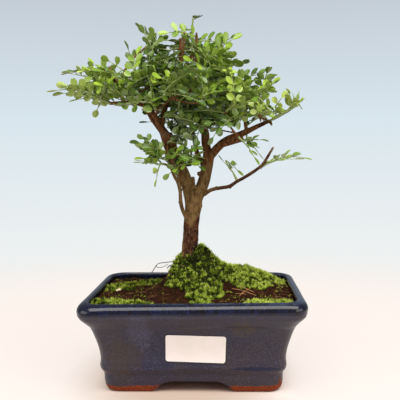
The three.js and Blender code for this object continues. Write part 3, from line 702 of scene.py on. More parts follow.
netPlastic = Recipe("netPlastic", Specular_IOR_Level=0.4)
rub = netPlastic.grain(2.2, 3, 0.6)
netPlastic.feed(Base_Color=netPlastic.mix(rub, (0.012, 0.012, 0.012), (0.035, 0.034, 0.032)),
                Roughness=0.45 + rub * 0.25, Normal=netPlastic.relief(rub, 0.06, 0.5))
for name in ("drain_screen_left", "drain_screen_right"):
    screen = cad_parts[name]
    screen.data.materials.clear()
    screen.data.materials.append(netPlastic.material)

# The bed: its surface is a level that rises round the trunk

bed = {  # mm
    "level": 56.5,
    "sides": [(6.9, 57), (6.9, 53), (12.9, 44), (16.1, 36), (18.3, 25), (19.5, 13.3)],
    "heaps": [  # centre x, y, spread x, y, height
        (4, -2, 13, 13, 17), (-3, 0, 23, 24, 11), (-13, 2, 9, 12, 9), (26, 10, 20, 18, 11),
        (42, 22, 16, 14, 6),
    ],
    "corner": 6.5,
    "clod": 0.55,
    "mesh": 0.8,
    "peat": [(0.004, 0.0014, 0.0005), (0.034, 0.0115, 0.004)],
    "damp": (0.014, 0.006, 0.003),
    "crumb": (0.075, 0.03, 0.012),
}
mossOvals = {  # centre x, y, half width, half depth, thickness
    "moss_mound": [(1, -1, 26, 24, 4.4), (26, 10, 27, 21, 4), (44, 24, 20, 17, 3.2), (9, -25, 14, 22, 3.6)],
    "moss_left": [(-52, 12, 17, 13, 3.2), (-36, 24, 15, 12, 2.6)],
    "moss_front_left": [(-56, -37, 14, 11, 3), (-38, -40, 14, 8, 2.6)],
    "moss_front_right": [(50, -36, 18, 11, 3)],
}


def soilHeight(x, y):
    height = bed["level"] + 0.5 * np.sin(x / 4.1 + 1.3) * np.cos(y / 3.7)
    for cx, cy, across, deep, tall in bed["heaps"]:
        height = height + tall * np.exp(-((x - cx) / across) ** 2 - ((y - cy) / deep) ** 2)
    return height


def mossThickness(ovals, x, y):
    swell = 0.6 * np.sin(x / 2.7) * np.sin(y / 2.9 + 0.7)
    rises = [1.5 * thick * (1 - ((x - cx) / across) ** 2 - ((y - cy) / deep) ** 2)
             for cx, cy, across, deep, thick in ovals]
    return np.minimum(np.max(rises, axis=0), max(oval[4] for oval in ovals)) + swell


def nearness(x, y, cx, cy, reach):
    return np.exp(-((x - cx) ** 2 + (y - cy) ** 2) / reach ** 2)


def insideBed(x, y, margin=0.0):
    halfWidth = bowl["width"] / 2 - bed["sides"][0][0] - margin
    halfDepth = bowl["depth"] / 2 - bed["sides"][0][0] - margin
    corner = bed["corner"]
    beyondX = np.maximum(np.abs(x) - halfWidth + corner, 0)
    beyondY = np.maximum(np.abs(y) - halfDepth + corner, 0)
    return beyondX ** 2 + beyondY ** 2 < corner ** 2


def roughness(x, y, size, seed):
    return np.array([noise.noise((a / size, b / size, seed)) for a, b in zip(x, y)])


def clods(x, y):
    return bed["clod"] * (roughness(x, y, 3.1, 5.2) + 0.6 * roughness(x, y, 1.3, 1.7))


def makeSoil():
    halfWidth = bowl["width"] / 2 - bed["sides"][0][0]
    halfDepth = bowl["depth"] / 2 - bed["sides"][0][0]
    bpy.ops.mesh.primitive_grid_add(
        x_subdivisions=int(2 * halfWidth / bed["mesh"]),
        y_subdivisions=int(2 * halfDepth / bed["mesh"]), size=1, location=(potCentre, 0, 0))
    soil = bpy.context.object
    soil.scale = (2 * halfWidth * mm, 2 * halfDepth * mm, 1)
    settle(soil)
    corner = bed["corner"]
    for vertex in soil.data.vertices:  # the four corners are rounded
        x = (vertex.co.x - potCentre) / mm
        y = vertex.co.y / mm
        beyond = Vector((abs(x) - halfWidth + corner, abs(y) - halfDepth + corner))
        if min(beyond) > 0 and beyond.length > corner:
            beyond *= corner / beyond.length
            x = math.copysign(halfWidth - corner + beyond.x, x)
            y = math.copysign(halfDepth - corner + beyond.y, y)
            vertex.co.x = x * mm + potCentre
            vertex.co.y = y * mm
    editMode(soil, "EDGE")
    choose(soil, "edges", lambda edge: edge.is_boundary)
    for low, high in zip(bed["sides"], bed["sides"][1:]):
        extrudeRing(low, high)
    bpy.ops.mesh.edge_face_add()
    faceOutwards(soil)
    places = np.array([vertex.co for vertex in soil.data.vertices])
    x, y, z = (places[:, 0] - potCentre) / mm, places[:, 1] / mm, places[:, 2] / mm
    top = z > -0.01
    places[:, 2] = np.where(top, soilHeight(x, y) + clods(x, y), z + bed["sides"][0][1]) * mm
    soil.data.vertices.foreach_set("co", places.ravel())
    soil.data.update()
    smoothShade(soil, 60)
    return soil


# Tree: every woody route is a list of points in mm with the radius there

trunkRoute = [
    [-4.6, 0, 37, 4.4], [-4.6, 0, 48, 6.8], [-4.5, 0, 58, 8.4], [-4.4, 0, 70, 7], [-4.3, 0, 84, 5.9],
    [-3.9, 0, 91, 5.5], [-3.4, 0, 98, 5.4], [-3, 0, 105, 5.5], [-2.3, 0, 112, 6], [-1.5, 0, 119, 6.8],
    [-1.1, 0, 124, 5.2], [-1, 0, 128, 2.6],
]
limbRoutes = {
    "leftLimb": [
        [-2.6, 0, 110, 4.4], [-3.6, 0, 121, 5.3], [-5.2, 0, 129.9, 5], [-7.1, -2, 135.6, 4.8],
        [-9.8, -3, 141.9, 4.6], [-13.1, -4, 147.5, 4.5], [-15.4, -5, 154.5, 4.4], [-16.9, -6, 159.9, 4.2],
        [-18.5, -6, 166.4, 3.5],
    ],
    "rightLimb": [
        [-2, 0, 112, 4.2], [1, 0, 123, 4.6], [4.5, 1, 129.8, 4.3], [6.7, 1, 136.8, 4.1], [8.1, 2, 143.7, 4],
        [8.9, 2, 150, 4.1], [8.1, 3, 154.2, 3.2], [7.1, 4, 159.8, 3], [6.7, 5, 166.1, 2.9],
        [4.6, 6, 175.3, 2.7], [2.3, 6, 191.7, 2.2], [0.4, 5, 206, 1.7], [-1.8, 5, 221.2, 1.1],
    ],
    "rightArm": [
        [8.2, 2, 148, 3.1], [11, 1, 151.4, 3.1], [16.7, -2, 157.6, 2.9], [22.3, -5, 161.7, 2.6],
        [28.5, -7, 164.3, 2.3], [35.3, -9, 167, 2], [42, -10, 170.3, 1.6], [50.4, -12, 173.9, 1.2],
    ],
    "leftArm": [
        [-17.4, -6, 163, 2.8], [-22.8, -8, 171.6, 2.3], [-25.4, -9, 176.3, 2.1], [-31.4, -9, 184, 1.8],
        [-38, -12, 186.2, 1.6], [-46, -15, 186.5, 1.4], [-54.7, -18, 186, 1.1],
    ],
    "crownBranch": [
        [-22, -7.5, 170.5, 1.9], [-20, -6, 181, 1.8], [-18, -5, 187.4, 1.8], [-11, -4, 197, 1.6],
        [-8.2, -4, 208, 1.4], [-9, -4, 212.3, 1.3], [-9.6, -4, 228, 1],
    ],
    "leftWand": [
        [-30, -9, 182.4, 1.5], [-42, -5, 190, 1.2], [-49.6, 0, 195, 1.1], [-50.4, 2, 203, 1],
        [-44.6, 3, 215, 0.9], [-33, 6, 226.2, 0.8],
    ],
    "cutLeftTwig": [
        [-45, -14.6, 186.5, 1.2], [-49, -12, 192, 1.1], [-50, -10, 197, 1.1], [-56, -12, 211, 0.9],
    ],
    "lowLeftBranch": [
        [-3.5, -2, 103, 1.5], [-8.4, -6, 114.2, 1.4], [-9.6, -8, 121.4, 1.4], [-9.7, -10, 127.7, 1.3],
        [-11.1, -12, 134, 1.3], [-13.4, -13, 138.2, 1.2], [-16.6, -14, 147.8, 1.1], [-18.3, -14, 153.1, 0.9],
    ],
    "lowRightBranch": [
        [2.5, 0, 123, 1.5], [6.7, -2, 125, 1.4], [11, -4, 127.9, 1.4], [18, -8, 129.5, 1.3],
        [23.6, -11, 130.7, 1.3], [28.3, -14, 133.9, 1.2], [34.4, -17, 137.4, 1.2], [42.4, -20, 142.8, 1.1],
        [46.3, -20, 146.8, 1.1], [52.3, -19, 156.7, 0.8],
    ],
    "backLimb": [
        [6.5, 2.5, 142, 1.8], [1, 8, 153, 1.7], [-1, 10, 162, 1.6], [-4, 14, 174, 1.5], [-10, 22, 188, 1.2],
    ],
    "cutRightTwig": [[35.3, -8.5, 167, 1.3], [34, -8, 174, 1.1], [35.1, -8, 184.6, 0.9]],
    "cutTopTwig": [[0.6, 5, 204, 1.2], [1.6, 3, 222, 1], [1.8, 3, 233, 0.8]],
    "cutInnerTwig": [[-14.6, -3, 153, 1.4], [-12.4, 1, 164, 1.1], [-10, 3, 168.5, 0.9]],
}
rootEnds = [[16, 10, 43], [-22, 16, 42], [-26, -12, 44], [2, -24, 42], [20, -12, 45]]
shoots = [
    {"at": [-55, -18.1, 186], "to": [-63, -22, 190],
     "leaves": [[-94, -26, 192.6], [-84, -38, 197], [-66, -14, 176]]},
    {"at": [-54, -14.5, 203], "to": [-60, -17, 206], "leaves": [[-89.5, -4, 206.5], [-68, -26, 213]]},
    {"at": [-33, 6, 226.5], "to": [-30, 7, 230], "leaves": [[-42, 9, 242.5], [-12, 2, 227]]},
    {"at": [-1.8, 5, 221.6], "to": [-1.1, 5, 244.6], "leaves": [[8, 2, 244], [-16, 12, 234]]},
    {"at": [6, 2, 214], "to": [12, -4, 221], "leaves": [[30.5, -8, 230], [26, 16, 226]]},
    {"at": [14, 4, 203], "to": [21, 7, 210], "leaves": [[38, 2, 214], [22, 30, 217]]},
    {"at": [22, -6, 190], "to": [31, -8, 195], "leaves": [[47, 2, 202], [40, -28, 197]]},
    {"at": [36, -13, 183], "to": [44, -14, 192], "leaves": [[58, -12, 201], [52, -33, 190]]},
    {"at": [50.7, -12, 174.1], "to": [69, -16, 184],
     "leaves": [[75, -9, 187], [59, -24, 190], [64, -4, 178]]},
    {"at": [30, -16, 163], "to": [34, -18, 159], "leaves": [[43, -22, 143], [50, -14, 160]]},
    {"at": [48.5, -22, 147], "to": [52, -24, 147.6], "leaves": [[75.5, -30, 147.6]]},
    {"at": [28, -17, 136], "to": [26, -18, 140], "leaves": [[15, -22, 151]]},
    {"at": [-19.5, -16, 154], "to": [-22, -18, 156], "leaves": [[-42, -20, 160.4], [-30, -36, 166]]},
    {"at": [-20, -17, 146], "to": [-23, -19, 146], "leaves": [[-39, -26, 146], [-24, -20, 130]]},
    {"at": [-5, -10, 146], "to": [-3, -13, 147], "leaves": [[8, -24, 141], [4, -10, 160]]},
    {"at": [-17, -12.5, 160], "to": [-16, -16, 161], "leaves": [[-1, -20, 153]]},
    {"at": [-24, -20, 182], "to": [-27, -26, 186], "leaves": [[-48, -34, 182]], "more": 2},
    {"at": [-38, -14, 194], "to": [-42, -20, 199], "leaves": [[-62, -34, 206]], "more": 2},
    {"at": [-24, -16, 204], "to": [-28, -20, 210], "more": 3},
    {"at": [-38, 12, 202], "to": [-44, 16, 206], "leaves": [[-66, 12, 198]], "more": 2},
    {"at": [-22, 12, 212], "to": [-25, 15, 219], "more": 2},
    {"at": [-30, 24, 192], "to": [-37, 30, 196], "leaves": [[-58, 34, 196]], "more": 1},
    {"at": [-10, -18, 206], "to": [-9, -23, 213], "more": 3},
    {"at": [-14, -28, 190], "to": [-17, -35, 192], "more": 3},
    {"at": [8, -20, 202], "to": [12, -24, 209], "more": 3},
    {"at": [6, -30, 186], "to": [8, -37, 189], "more": 2},
    {"at": [22, -24, 180], "to": [27, -31, 184], "more": 3},
    {"at": [2, 22, 214], "to": [3, 26, 221], "more": 3},
    {"at": [20, 24, 200], "to": [26, 30, 204], "more": 3},
    {"at": [-10, 32, 200], "to": [-11, 39, 203], "more": 2},
    {"at": [8, 36, 188], "to": [10, 43, 189], "more": 2},
    {"at": [36, 12, 184], "to": [44, 17, 188], "more": 2},
    {"at": [24, 16, 176], "to": [31, 22, 176], "more": 2},
    {"at": [-13, 8, 222], "to": [-17, 11, 226], "more": 2},
    {"at": [3, -10, 213], "to": [5, -15, 219], "more": 2},
    {"at": [-12, 20, 172], "to": [-18, 26, 173], "more": 2},
    {"at": [6, -14, 170], "to": [9, -19, 169], "more": 2},
    {"at": [-30, 0, 194], "to": [-34, -1, 198], "more": 2},
    {"at": [14, 6, 190], "to": [18, 3, 194], "more": 2},
    {"at": [-8, -20, 180], "to": [-10, -26, 181], "more": 2},
    {"at": [-46, 22, 188], "to": [-52, 26, 190], "more": 2},
    {"at": [44, -26, 178], "to": [49, -31, 180], "more": 2},
]
youngShoots = {0, 4, 8, 13, 24, 26}  # the palest, counted from 0

rule = {  # how the leaves are set on the shoots, in mm and radians
    "seed": 1009,
    "seedStep": 37,  # from one shoot's draws to the next
    "leafletLength": 7.6,
    "leafletHalfWidth": 2.55,
    "leafletSpacing": 5.5,
    "rachisBead": 0.7,
    "shootRadius": 0.85,
    "seat": 0.6,
    "ownShare": 0.75,
    "otherShare": 0.95,
    "tries": 24,
    "lengths": (24, 32),
    "spreads": (0.8, 1.75),
    "leans": (-0.45, 0.45),
    "spiral": 2.4,  # turn from one leaf to the next
    "depthLimit": 50,
    "crownCentre": np.array((-9, 0, 200)),
    "crownReach": np.array((78, 51, 39)),
    "gap": 0.3,
}
woodBeads = []  # x, y, z, radius
leafBeads = np.zeros((40000, 5))  # x, y, z, radius, owner; with room to spare
leafBeadCount = 0


def shootEnds(shoot):
    return np.array(shoot["at"], float), np.array(shoot["to"], float)


def addWoodBeads(route):
    for start, end in zip(route, route[1:]):
        count = math.ceil(math.dist(start[:3], end[:3]) / 1.2)
        for step in range(count):
            share = step / count
            woodBeads.append([a + (b - a) * share for a, b in zip(start, end)])


def addLeafBeads(beads, owner):
    global leafBeadCount
    for bead in beads:
        leafBeads[leafBeadCount] = (*bead, owner)
        leafBeadCount += 1


def twigRoute(shoot):  # bends from the nearest wood, rather below it than above, to the shoot's foot
    tip, end = shootEnds(shoot)
    along = unit(end - tip)
    beads = np.array(woodBeads)
    offset = beads[:, :3] - tip
    cost = (np.sqrt((offset ** 2).sum(1)) + 1.5 * np.maximum(0, offset[:, 2] + 4)
            + 0.5 * np.abs(offset[:, 1]))
    parent = beads[np.argmin(cost)]
    reach = math.dist(parent[:3], tip)
    if reach < 1.5:
        return None
    bend = tip - 0.4 * reach * along
    thick = min(parent[3] * 0.8, 0.95 + 0.02 * reach)
    steps = 3 if reach > 14 else 2
    route = []
    for index in range(steps + 1):
        t = index / steps
        place = (1 - t) ** 2 * parent[:3] + 2 * (1 - t) * t * bend + t ** 2 * tip
        route.append([*place, thick + (0.9 - thick) * t])
    return route


def leafPlan(base, tip, lean, draw):  # leaflets in pairs along an arched stalk and one at its end
    along = tip - base
    length = math.sqrt(along @ along)
    along = along / length
    side = np.cross(along, (0, 0, 1))
    if side @ side < 0.05:
        side = np.array((0, 1, 0)) - along * along[1]
    side = turned(unit(side), along, lean)
    up = unit(np.cross(side, along))
    arch = draw(0.05, 0.12) * length
    fold = draw(0.12, 0.4)
    pairs = max(1, min(5, math.floor((length - 9) / rule["leafletSpacing"] + 0.5)))
    end = length - rule["leafletLength"] * 0.92
    first = max(end - pairs * rule["leafletSpacing"], 1.8)

    def placeAt(s):
        return base + along * s + up * (arch * 4 * (s / length) * (1 - s / length))

    def forwardAt(s):
        return unit(along + up * (arch * 4 * (1 - 2 * s / length) / length))

    whole = rule["leafletLength"] * min(1, 0.45 + length / 45)
    leaflets = []
    for index in range(pairs + 1):
        s = first + (end - first) * index / pairs
        forward = forwardAt(s)
        normal = unit(np.cross(side, forward))
        size = whole * (0.78 + 0.24 * math.sin(math.pi * (index + 0.6) / (pairs + 1)))
        if index == pairs:
            leaflets.append((placeAt(s), forward, normal, whole))
            continue
        for hand in (1, -1):
            angle = 1.12 - 0.2 * index / pairs + draw(-0.1, 0.1)
            lift = fold + draw(-0.12, 0.12)
            axis = (forward * math.cos(angle) * math.cos(lift)
                    + side * hand * math.sin(angle) * math.cos(lift) + normal * math.sin(lift))
            leaflets.append((placeAt(s), axis, normal, size * draw(0.94, 1.06)))
    beads = []
    for root, axis, normal, size in leaflets:
        for share in (0.38, 0.76):
            beads.append([*(root + axis * size * share), rule["leafletHalfWidth"]])
    s = 2
    while s < end:
        beads.append([*placeAt(s), rule["rachisBead"]])
        s += 1.5
    rachis = [placeAt(end * step / 8) for step in range(9)]
    return {"leaflets": leaflets, "beads": beads, "rachis": rachis, "tip": tip}


def crownShare(place):
    offset = (place - rule["crownCentre"]) / rule["crownReach"]
    return math.sqrt(offset @ offset)


def isClear(beads, owner, wood, share=None):  # beads stand in for a leaf where it could meet others
    beads = np.array(beads)
    apart = np.sqrt(((beads[:, None, :3] - wood[None, :, :3]) ** 2).sum(2))
    if (apart < beads[:, None, 3] + wood[None, :, 3] + rule["gap"]).any():
        return False
    others = leafBeads[:leafBeadCount]
    shares = share or np.where(others[:, 4] == owner, rule["ownShare"], rule["otherShare"])
    apart = np.sqrt(((beads[:, None, :3] - others[None, :, :3]) ** 2).sum(2))
    return not (apart < shares * (beads[:, None, 3] + others[None, :, 3])).any()


def growLeaves(shoot, owner, draw, wood):
    base, end = shootEnds(shoot)
    axis = end - base
    reach = math.sqrt(axis @ axis)
    axis = axis / reach
    across = unit(np.cross(axis, (0.3, 0.2, 1)))
    given = shoot.get("leaves", [])
    count = len(given) + shoot.get("more", 0)
    start = draw(0, 2 * math.pi)
    plans = []
    for index in range(count):
        root = base + axis * (reach * (0.95 - 0.6 * index / count))
        for attempt in range(rule["tries"]):
            if index < len(given):
                loose = attempt / 3
                tip = np.array([value + draw(-loose, loose) for value in given[index]])
            else:
                turn = start + (index + 0.37 * attempt) * rule["spiral"]
                length = draw(*rule["lengths"])
                spread = draw(*rule["spreads"])
                tip = (root + axis * length * math.cos(spread)
                       + turned(across, axis, turn) * length * math.sin(spread))
            tip[1] = max(-rule["depthLimit"], min(rule["depthLimit"], tip[1]))
            plan = leafPlan(root, tip, draw(*rule["leans"]), draw)
            if (index < len(given) or crownShare(tip) < 1) and isClear(plan["beads"], owner, wood):
                addLeafBeads(plan["beads"], owner)
                plans.append(plan)
                break
    return plans


# Tubes and copies


def tube(route, sides):  # a closed tube through places with the radius there
    route = np.asarray(route, float)
    across = np.array((1.0, 0, 0))
    rings = []
    for index, (*place, radius) in enumerate(route):
        before, after = route[max(index - 1, 0)], route[min(index + 1, len(route) - 1)]
        along = unit(after[:3] - before[:3])
        if abs(across @ along) > 0.95:
            across = np.array((0, 1.0, 0))
        across = unit(across - along * (across @ along))
        up = np.cross(along, across)
        angles = 2 * np.pi * np.arange(sides) / sides
        rings.append(place + radius * (np.outer(np.cos(angles), across) + np.outer(np.sin(angles), up)))
    faces = []
    for ring in range(len(rings) - 1):
        for side in range(sides):
            a = ring * sides + side
            b = ring * sides + (side + 1) % sides
            faces.append((a, b, b + sides, a + sides))
    faces.append(tuple(range(sides))[::-1])
    faces.append(tuple(range((len(rings) - 1) * sides, len(rings) * sides)))
    return np.vstack(rings), faces


def joined(parts):
    points, faces, start = [], [], 0
    for partPoints, partFaces in parts:
        points.append(partPoints)
        faces.extend(tuple(corner + start for corner in face) for face in partFaces)
        start += len(partPoints)
    return np.vstack(points), faces


routes = [trunkRoute, *limbRoutes.values()]
for route in routes:
    addWoodBeads(route)
twigs = []
for shoot in shoots:
    twig = twigRoute(shoot)
    if twig:
        twigs.append(twig)
        addWoodBeads(twig)
for owner, shoot in enumerate(shoots):
    start, end = shootEnds(shoot)
    start = start + unit(end - start) * rule["seat"]
    addLeafBeads([[*(start + (end - start) * step / 4), rule["shootRadius"]] for step in range(5)], owner)
wood = np.array(woodBeads)
leavesOf = [growLeaves(shoot, owner, seededDraws(rule["seed"] + rule["seedStep"] * owner), wood)
            for owner, shoot in enumerate(shoots)]
print("leaves planned:", sum(len(plans) for plans in leavesOf),
      "leaflets:", sum(len(plan["leaflets"]) for plans in leavesOf for plan in plans))

# Wood

bark = {  # mm
    "sides": 14,
    "between": 4,
    "voxel": 0.5,
    "rootStock": [-4.6, 0, 56, 4.6],
    "knobs": [  # stubs and swellings: from, to, radius at each
        ((-1.6, -2, 129), (-1.2, -4, 136.9), 2, 1.1), ((17, -2, 157.5), (18.1, -1, 160.8), 1.6, 0.9),
        ((22.5, -5, 161), (23, -3.5, 158.4), 1.6, 0.8),
        ((50.4, -12, 173.9), (51.7, -12, 170.6), 1.2, 0.7),
        ((4.5, 0, 138.5), (1.5, -1, 139), 2, 1.3), ((0, -1, 116.5), (4.7, -1.5, 117), 2.2, 1.4),
        ((-17, -5, 153), (-24.7, -8, 153.6), 1.3, 0.8), ((-9.7, -10, 128), (-8.5, -8.5, 128.7), 1.3, 0.9),
        ((-9.4, -7.5, 120), (-11.1, -6, 119.7), 1.3, 0.8), ((-2, -1, 93.5), (1.7, -2, 93.6), 2, 1.4),
        ((14.5, -6, 128.5), (14.8, -5.4, 130.4), 1.3, 0.8),
        ((23.8, -10.5, 130.8), (24.2, -9, 129.2), 1.3, 0.8),
        ((-7.8, -8, 203), (-7.1, -20, 210), 1.2, 1.1), ((-7.1, -20, 210), (-7.2, -24, 227), 1.1, 0.9),
        ((-7.1, -18, 210), (-4.8, -21, 231), 0.9, 0.8), ((1.5, -9, 224), (2.4, -12, 232), 0.9, 0.8),
        ((51.9, -8, 174.8), (62.6, -10, 180.6), 1.2, 1.1), ((62.6, -10, 180.6), (72, -12, 188), 1.1, 0.9),
        ((-33, -7, 183.5), (-29, -5.5, 176), 1, 1.2), ((-29, -5.5, 176), (-22.5, -4, 167), 1.2, 1.4),
        ((-22.5, -4, 167), (-19.2, -4, 156), 1.4, 1.6), ((19.5, -6, 158.3), (33, -8, 162), 1.7, 1.5),
    ],
    "cutEnds": [  # place and radius of the snipped ends
        (-18.5, -6, 166.4, 3.8), (-56, -12, 211, 1.6), (35.1, -8, 184.6, 1.6), (1.8, 3, 233, 1.6),
        (-10, 3, 168.5, 1.6), (52.3, -19, 156.7, 1.6), (-9.6, -4, 228, 1.8), (-24.7, -8, 153.6, 1.5),
        (51.7, -12, 170.6, 1.3), (-1.2, -4, 136.9, 1.7),
        (-7.2, -24, 227, 1.5), (-4.8, -21, 231, 1.4), (72, -12, 188, 1.3),
    ],
    "waist": {"height": 121, "reach": 11, "thinner": 0.9, "sideways": 0.35},
    "swell": 0.34,
    "furrow": 0.3,
    "wart": 0.12,
    "redder": 136,  # from here up the limbs turn red-brown
    "prickles": {
        "seed": 3301,
        "count": 46,
        "length": 2.1,
        "vary": (0.6, 1.1),
        "thick": (0.42, 0.05),
        "sink": 0.6,  # share of the twig's radius at which a prickle starts
        "twigs": (0.95, 2.6),  # radius of the wood that bears them
        "lowest": 118,
        "colours": [(0.05, 0.016, 0.01), (0.14, 0.07, 0.03)],
    },
    # the dark red-brown foot of the trunk, its red bark darkened by painted shade: where it starts on the
    # left, its border, and a hollow of nearly black painted shade
    "shadedFoot": {"left": -9, "middle": -3, "height": 103, "steep": 1.5, "hollow": (0, 87, 5)},
    "tan": [(0.075, 0.039, 0.012), (0.2, 0.115, 0.042)],
    "red": [(0.066, 0.021, 0.006), (0.235, 0.098, 0.034)],
    # the foot's colours: red-brown bark darkened by painted shade, and nearly black painted shade for its
    # hollow
    "dark": [(0.018, 0.006, 0.003), (0.1, 0.038, 0.016)],
    "hollowShade": (0.008, 0.005, 0.003),
    "paleDots": (0.26, 0.18, 0.1),
    "darkSpecks": (0.03, 0.015, 0.007),
    "young": (0.12, 0.085, 0.03),
    "cutFace": [(0.02, 0.012, 0.008), (0.3, 0.19, 0.1)],
}


def woodStrands():
    rootRoutes = [[bark["rootStock"], [x * 0.4 - 3, y * 0.45, 52, 3.2], [x, y, z, 1.4]]
                  for x, y, z in rootEnds]
    strands = [curveThrough(route, bark["between"]) for route in routes + twigs + rootRoutes]
    waist = bark["waist"]
    for strand in strands[:2]:  # trunk and left limb leave a slit beside the low branch
        share = np.exp(-((strand[:, 2] - waist["height"]) / waist["reach"]) ** 2)
        strand[:, 3] -= waist["thinner"] * share
        strand[:, 0] += waist["sideways"] * share
    for start, end, thick, thin in bark["knobs"]:
        strands.append(np.array([[*start, thick], [*end, thin]]))
    return strands


def makeWood():
    strands = woodStrands()
    wood = pieceFromArrays("bark_wood", *joined([tube(strand, bark["sides"]) for strand in strands]))
    applyModifier(wood, "REMESH", mode="VOXEL", voxel_size=bark["voxel"] * mm)
    applyModifier(wood, "SMOOTH", factor=0.55, iterations=3)
    beads = np.vstack([curveThrough(strand, 2) for strand in strands])
    tree = KDTree(len(beads))
    for index, bead in enumerate(beads):
        tree.insert(bead[:3], index)
    tree.balance()
    mesh = wood.data
    count = len(mesh.vertices)
    places = np.zeros(count * 3)
    normals = np.zeros(count * 3)
    mesh.vertices.foreach_get("co", places)
    mesh.vertex_normals.foreach_get("vector", normals)
    places = (places.reshape(-1, 3) - [potCentre, 0, 0]) / mm
    normals = normals.reshape(-1, 3)
    girth = np.array([beads[tree.find(place)[1], 3] for place in places])
    swells = np.array([noise.noise(Vector(place) / 4.2) for place in places])
    furrows = np.array([noise.noise((x / 1.3, y / 1.3, z / 4.6)) for x, y, z in places])
    warts = np.array([noise.noise((x / 0.8, y / 0.8, z / 0.7)) for x, y, z in places])
    share = np.clip(girth / 6, 0.08, 1)[:, None]
    depth = bark["swell"] * swells + bark["furrow"] * -np.abs(furrows) + bark["wart"] * warts
    places += normals * depth[:, None] * share
    mesh.vertices.foreach_set("co", ((places * mm) + [potCentre, 0, 0]).ravel())
    mesh.update()
    markWood(wood, places, girth, swells)
    smoothShade(wood, 70)
    return wood


def markWood(wood, places, girth, swells):  # where the bark's finish changes
    cut = np.zeros(len(places))
    for x, y, z, radius in bark["cutEnds"]:
        reach = np.sqrt(((places - (x, y, z)) ** 2).sum(1))
        cut = np.maximum(cut, np.clip((radius * 1.25 - reach) / radius * 2.2, 0, 1))
    x, y, z = places.T
    # low marks the trunk's foot under painted shade, and the hollow of painted shade in front of it
    shadedFoot = bark["shadedFoot"]
    border = shadedFoot["height"] + shadedFoot["steep"] * np.abs(x - shadedFoot["middle"]) + 3 * swells
    low = np.clip((x - shadedFoot["left"]) / 2.5, 0, 1) * np.clip((border - z) / 4, 0, 1)
    low = np.maximum(low, 2 * nearness(x, z, *shadedFoot["hollow"]) * (y < 0))
    pointValues(wood, "girth", girth / 8)
    pointValues(wood, "cut", cut)
    pointValues(wood, "red", np.clip((z - bark["redder"]) / 22 + 0.5 * swells, 0, 1))
    pointValues(wood, "low", low)


def barkFinish():
    finish = Recipe("bark", Specular_IOR_Level=0.08)
    streaks = finish.grain(2.2, 5, 0.65, (1, 1, 0.5), 0.4)
    specks = finish.grain(0.9, 3, 0.75)
    patches = finish.grain(7, 4, 0.6)
    dots = finish.cells(1.9).between(0.34, 0.16)
    tan, red, dark = (finish.mix(streaks.between(0.32, 0.68), *bark[name])
                      for name in ("tan", "red", "dark"))
    colour = finish.mix((finish.value("red") + (patches - 0.5) * 0.9).between(0.2, 0.8), tan, red)
    # painted shade: the foot of the trunk darkens, and its hollow goes nearly black
    colour = finish.mix(finish.value("low").between(0.1, 0.6), colour, dark)
    colour = finish.mix(finish.value("low").between(1.0, 1.8) * 0.9, colour, bark["hollowShade"])
    colour = finish.mix(dots * patches.between(0.35, 0.55) * 0.4, colour, bark["paleDots"])
    colour = finish.mix(specks.between(0.42, 0.3) * 0.7, colour, bark["darkSpecks"])
    young = finish.value("girth").between(0.16, 0.1) * patches.between(0.35, 0.6)
    colour = finish.mix(young * 0.55, colour, bark["young"])
    colour = finish.mix(finish.value("cut") * 0.85, colour, finish.mix(specks, *bark["cutFace"]))
    height = streaks * 0.7 + specks * 0.5
    return finish.feed(Base_Color=colour, Roughness=0.62 + specks * 0.28,
                       Normal=finish.relief(height, 0.35, 0.9))


def makePrickles():
    prickle = bark["prickles"]
    draw = seededDraws(prickle["seed"])
    low, high = prickle["twigs"]
    slim = [bead for bead in woodBeads if low < bead[3] < high and bead[2] > prickle["lowest"]]
    thick, thin = prickle["thick"]
    parts = []
    while len(parts) < prickle["count"]:
        x, y, z, radius = slim[int(draw(0, len(slim)))]
        turn = draw(0, 2 * math.pi)
        length = prickle["length"] * draw(*prickle["vary"])
        out = np.array((math.cos(turn), math.sin(turn), draw(-0.2, 0.5)))
        foot = np.array((x, y, z)) + out * radius * prickle["sink"]
        route = [[*(foot + out * length * share), thick * (1 - share) + thin] for share in (0, 0.35, 1)]
        parts.append(tube(route, 6))
    prickles = pieceFromArrays("prickles", *joined(parts))
    smoothShade(prickles, 50)
    return prickles


barkMaterial = barkFinish()
handOver(makeWood(), "bark_wood", "bark", barkMaterial, "trunk_and_branches")
prickles = makePrickles()
prickleFinish = Recipe("prickle", Specular_IOR_Level=0.4)
blush = prickleFinish.grain(1.1, 3)
prickleFinish.feed(Base_Color=prickleFinish.mix(blush, *bark["prickles"]["colours"]),
                   Roughness=0.45 + blush * 0.2, Normal=prickleFinish.relief(blush, 0.05, 0.5))
handOver(prickles, "prickles", "bark", prickleFinish.material)

# Leaves: one leaflet is modelled, and every leaflet is a copy of it

